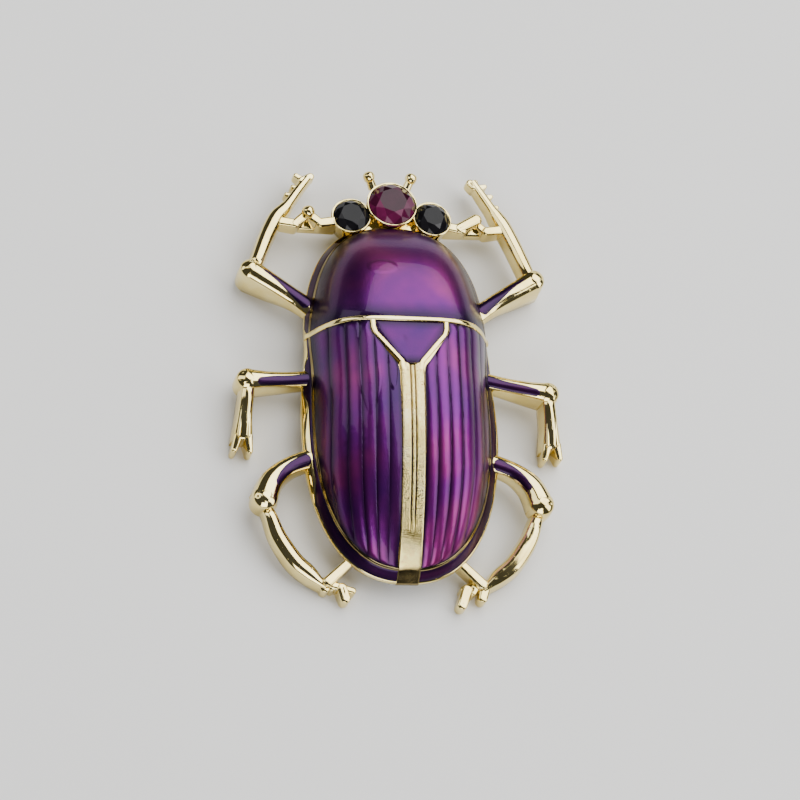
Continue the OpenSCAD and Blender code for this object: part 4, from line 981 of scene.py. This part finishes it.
def makeFeeler(made, frontShin, name):
    # bars from a side cup to the front shin, over a low web
    shin = frontShin[24, :2]
    start = sideOut() + stone["sideD"] * 0.45
    y = stone["ahead"] - stone["sideBack"]
    w, high, rim = feeler["w"] * 1.3, stone["sideZ"], body["rimZ"]
    cupSide = (start, y - 0.6)
    bend = (start + (shin[0] - start) * feeler["bend"], y - 0.85)
    knob = (start + (shin[0] - start) * feeler["knob"], y + 0.15)
    dip = (start + (shin[0] - start) * feeler["dip"], y - 0.9)
    if name == "left":
        bar(made, cupSide, bend, rim, high, high, w, w)
        bar(made, bend, knob, rim, high, high, w * 0.8, w)
        bar(made, knob, dip, rim, high, high * 0.92, w, w * 0.8)
        ball(made, (knob[0], knob[1], high + 0.15), feeler["knobD"] * 0.58)
    else:
        # here the feeler is one long swelling, then a low stretch
        near, far = (bend[0] - 0.3, bend[1] + 0.1), (knob[0] + 0.2, knob[1] + 0.1)
        bar(made, cupSide, bend, rim, high * 0.95, high * 0.95, w * 0.9, w)
        bar(made, near, far, rim, high * 0.96, high * 1.02, w * 1.15, w * 1.2, 0.3)
        bar(made, far, dip, rim, high * 0.8, high * 0.86, w * 0.8, w * 0.8)
    bar(made, dip, shin, rim * 0.8, high * 0.92, high * 0.86, w * 0.9, w)
    bar(made, cupSide, shin, rim * 0.7, rim * 1.1, rim * 1.1, w, w)


def makeCups(gold):
    # each cup is a profile turned round, from its foot up over its lip and down the seat
    made = Build()
    b = np.linspace(0, 2 * np.pi, 96, endpoint=False)
    for seat in seats():
        r, foot = seat[1] / 2, -stone["cupH"]
        profile = [(r * 0.02, foot), (r * 0.8 + 0.2, foot), (r * 0.8 + 0.3, foot + 0.1), (r + 0.1, -0.7),
                   (r + 0.15, -0.32), (r + 0.18, -0.05), (r + 0.16, 0.05), (r + 0.11, 0.09), (r + 0.05, 0.08),
                   (r - 0.01, 0.05), (r - 0.01, -0.1), (r * 0.7, -0.55 * r), (r * 0.05, -0.8 * r)]
        loops = []
        for k, (radius, z) in enumerate(profile):
            wob = 1 + (0.006 * np.sin(5 * b + k) + 0.004 * np.sin(11 * b + 2 * k))
            loops.append(np.stack([radius * wob * np.cos(b), radius * wob * np.sin(b), np.full(96, z)], -1))
        made.loops(np.asarray(loops) @ seatSpin(seat).T + np.asarray(seat[0]))
    low = body["rimZ"]
    for side in (-1, 1):  # the head's metal, behind the cups
        bar(made, (0, stone["ahead"] - 1.3), (side * sideOut() * 0.9, stone["ahead"] - 2.0), low, low + 1.1,
            low + 1.0, 3.0, 2.4)
    made.finish("stoneCups", gold, "gold_metal", ["casting"], 50)


# A stone's cut: radii of the table, the stars and the girdle over the stone's; heights over its diameter,
# the girdle's half height in millimetres
facets = {"table": 0.58, "star": 0.80, "girdle": 0.985, "tableZ": 0.17, "starZ": 0.11, "edge": 0.07,
          "point": 0.34}


def cutStone(name, seat, material, slotName, nodeName):
    # octagonal table, star, kite and girdle facets above, long facets to a point below
    d = seat[1]
    r = d / 2
    at8, at16 = np.arange(8) * np.pi / 4, np.arange(16) * np.pi / 8

    def ring(radius, turn, z, at):
        return np.stack([radius * np.cos(at + turn), radius * np.sin(at + turn), np.full(len(at), z)], 1)

    edge = facets["edge"]
    points = np.concatenate([ring(r * facets["table"], 0, d * facets["tableZ"], at8),
                             ring(r * facets["star"], np.pi / 8, d * facets["starZ"], at8),
                             ring(r * facets["girdle"], 0, edge, at16),
                             ring(r * facets["girdle"], 0, -edge, at16),
                             [[0, 0, -edge - d * facets["point"]]]])
    faces = [(0, 1, 2, 3), (0, 3, 4, 5), (0, 5, 6, 7)]
    for k in range(8):
        on, m, g = (k + 1) % 8, 8 + k, 16 + 2 * k
        nextG = 16 + (2 * k + 2) % 16
        faces += [(k, on, m, m), (on, m, nextG, 8 + on), (m, g, g + 1, g + 1), (m, g + 1, nextG, nextG)]
    for k in range(16):
        a, b = 16 + k, 16 + (k + 1) % 16
        faces += [(a, b, b + 16, a + 16), (a + 16, b + 16, 48, 48)]
    faces = np.array(faces)
    # painted light: the facets on the tail side and on the right are painted lightest, varying from facet to
    # facet; the table is painted dull
    middle = points[faces].mean(1)
    lit = 0.35 + 0.35 * np.cos(np.arctan2(middle[:, 1], middle[:, 0]) + 1.9)
    tone = lit + 0.3 * np.sin(7.3 * np.arange(len(faces)) + 0.4)
    tone[:3] = 0.12
    points = points @ seatSpin(seat).T + np.asarray(seat[0])
    addMesh(name, points, faces, material, slotName, [nodeName], 0, np.clip(tone, 0, 1))


# Stage: colours of the floor and the sky, the floor's half size in millimetres, and the lamps, each with
# its place, width and height in metres and its power
look = {"floor": (0.74, 0.735, 0.72), "sky": (0.9, 0.92, 1), "skyPower": 0.07, "floorHalf": 1500}
lamps = {"keyLight": ((0.30, 0.34, 0.62), 0.95, 0.85, 12.5), "leftLight": ((-0.5, 0.2, 0.42), 0.3, 0.6, 1.4),
         "tailLight": ((-0.08, -0.6, 0.42), 0.5, 0.3, 2.6), "rightLight": ((0.56, -0.2, 0.4), 0.35, 0.5, 2.4)}


def areaLight(name, place, width, height, power):
    # a rectangular lamp that faces the part
    data = bpy.data.lights.new(name, "AREA")
    data.shape, data.size, data.size_y, data.energy = "RECTANGLE", width, height, power
    obj = bpy.data.objects.new(name, data)
    bpy.context.collection.objects.link(obj)
    obj.location = place
    obj.rotation_euler = (-Vector(place)).to_track_quat("-Z", "Y").to_euler()


def makeStage():
    mat, tree, shader = newMaterial("paleFloor", Roughness=0.75)
    tone = noiseNode(tree, objectCoords(tree), 60, 5)
    base = look["floor"]
    colour = rampNode(tree, tone, [(0.3, [c * 0.985 for c in base]), (0.7, base)])
    tree.links.new(colour, shader.inputs["Base Color"])
    points = np.array([(-1, -1, 0), (1, -1, 0), (1, 1, 0), (-1, 1, 0)], float) * look["floorHalf"]
    floor = addMesh("floor", points, np.array([(0, 1, 2, 3)]), mat)
    world = bpy.data.worlds.new("studio")
    bpy.context.scene.world = world
    world.use_nodes = True
    sky = world.node_tree.nodes["Background"]
    sky.inputs["Color"].default_value = (*look["sky"], 1)
    sky.inputs["Strength"].default_value = look["skyPower"]
    for name, values in lamps.items():
        areaLight(name, *values)


def makeEnamel():
    purple = enamelMaterial("purpleEnamel", 0.1)
    wavyPurple = enamelMaterial("wavyEnamel", 0.3)
    makeElytron(-1, wavyPurple)
    makeElytron(1, wavyPurple)
    makePronotum(purple)
    makeScutellum(purple)
    for side, name in ((-1, "left"), (1, "right")):
        skirtEnamel(name + "SkirtEnamel", purple, name + "_margin_enamel", side,
                    lines["stripeW"] / 2 + 0.03, 0, enamel["skirtTo"])
        skirtEnamel(name + "ShoulderEnamel", purple, name + "_shoulder_enamel", side,
                    0, enamel["shoulderFrom"], enamel["shoulderTo"])
    return purple


def makeLegs(gold, purple):
    # each side is built on the right, and the left one is then flipped
    made = Build()
    for side, name in ((1, "right"), (-1, "left")):
        start = len(made.points)
        frontThigh, frontShin = frontLeg(made, name)
        hindThigh = hindLeg(made, name)
        horn(made)
        makeFeeler(made, frontShin, name)
        midThigh = midLeg(made, name)
        if side < 0:
            made.flip(start)
        for part, line in (("Front", frontThigh), ("Mid", midThigh), ("Hind", hindThigh)):
            patchSolid(name + part + "Patch", line, patchRows[part.lower()], side, purple,
                       name + "_" + part.lower() + "_leg_enamel")
    made.finish("legsAndFeelers", gold, "gold_metal", ["casting"], 42)


# Stones' colours: of the dark facets, the painted light of the lit ones, and strength of the surface
# reflection
paintedFacets = {"wine": ((0.010, 0.001, 0.004), (0.15, 0.011, 0.066), 0.2),
         "black": ((0.002, 0.002, 0.0025), (0.012, 0.011, 0.013), 0.16)}


def makeStones():
    wine, black = stoneMaterial("wineStone", *paintedFacets["wine"]), stoneMaterial("blackStone", *paintedFacets["black"])
    centre, right, left = seats()
    cutStone("centreStone", centre, wine, "wine_stone", "centre_stone")
    cutStone("rightStone", right, black, "black_stone", "right_stone")
    cutStone("leftStone", left, black, "black_stone", "left_stone")


def main():
    makeCamera()
    gold = goldMaterial("paleGold", pits=0.35, rough=0.07, grainScale=2300, reach=0.0)
    stripeGold = goldMaterial("pittedGold", pits=0.7, rough=0.17, grainScale=7600, reach=0.16)
    makeShell(gold)
    makeBarAndArms(gold)
    makeStripe(stripeGold)
    print("body metal made")
    purple = makeEnamel()
    print("enamel made")
    makeLegs(gold, purple)
    print("legs made")
    makeCups(gold)
    makeStones()
    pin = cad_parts["pin_back"]
    pin.data.materials.clear()
    pin.data.materials.append(steelMaterial())
    print("stones and pin made")
    makeStage()


main()
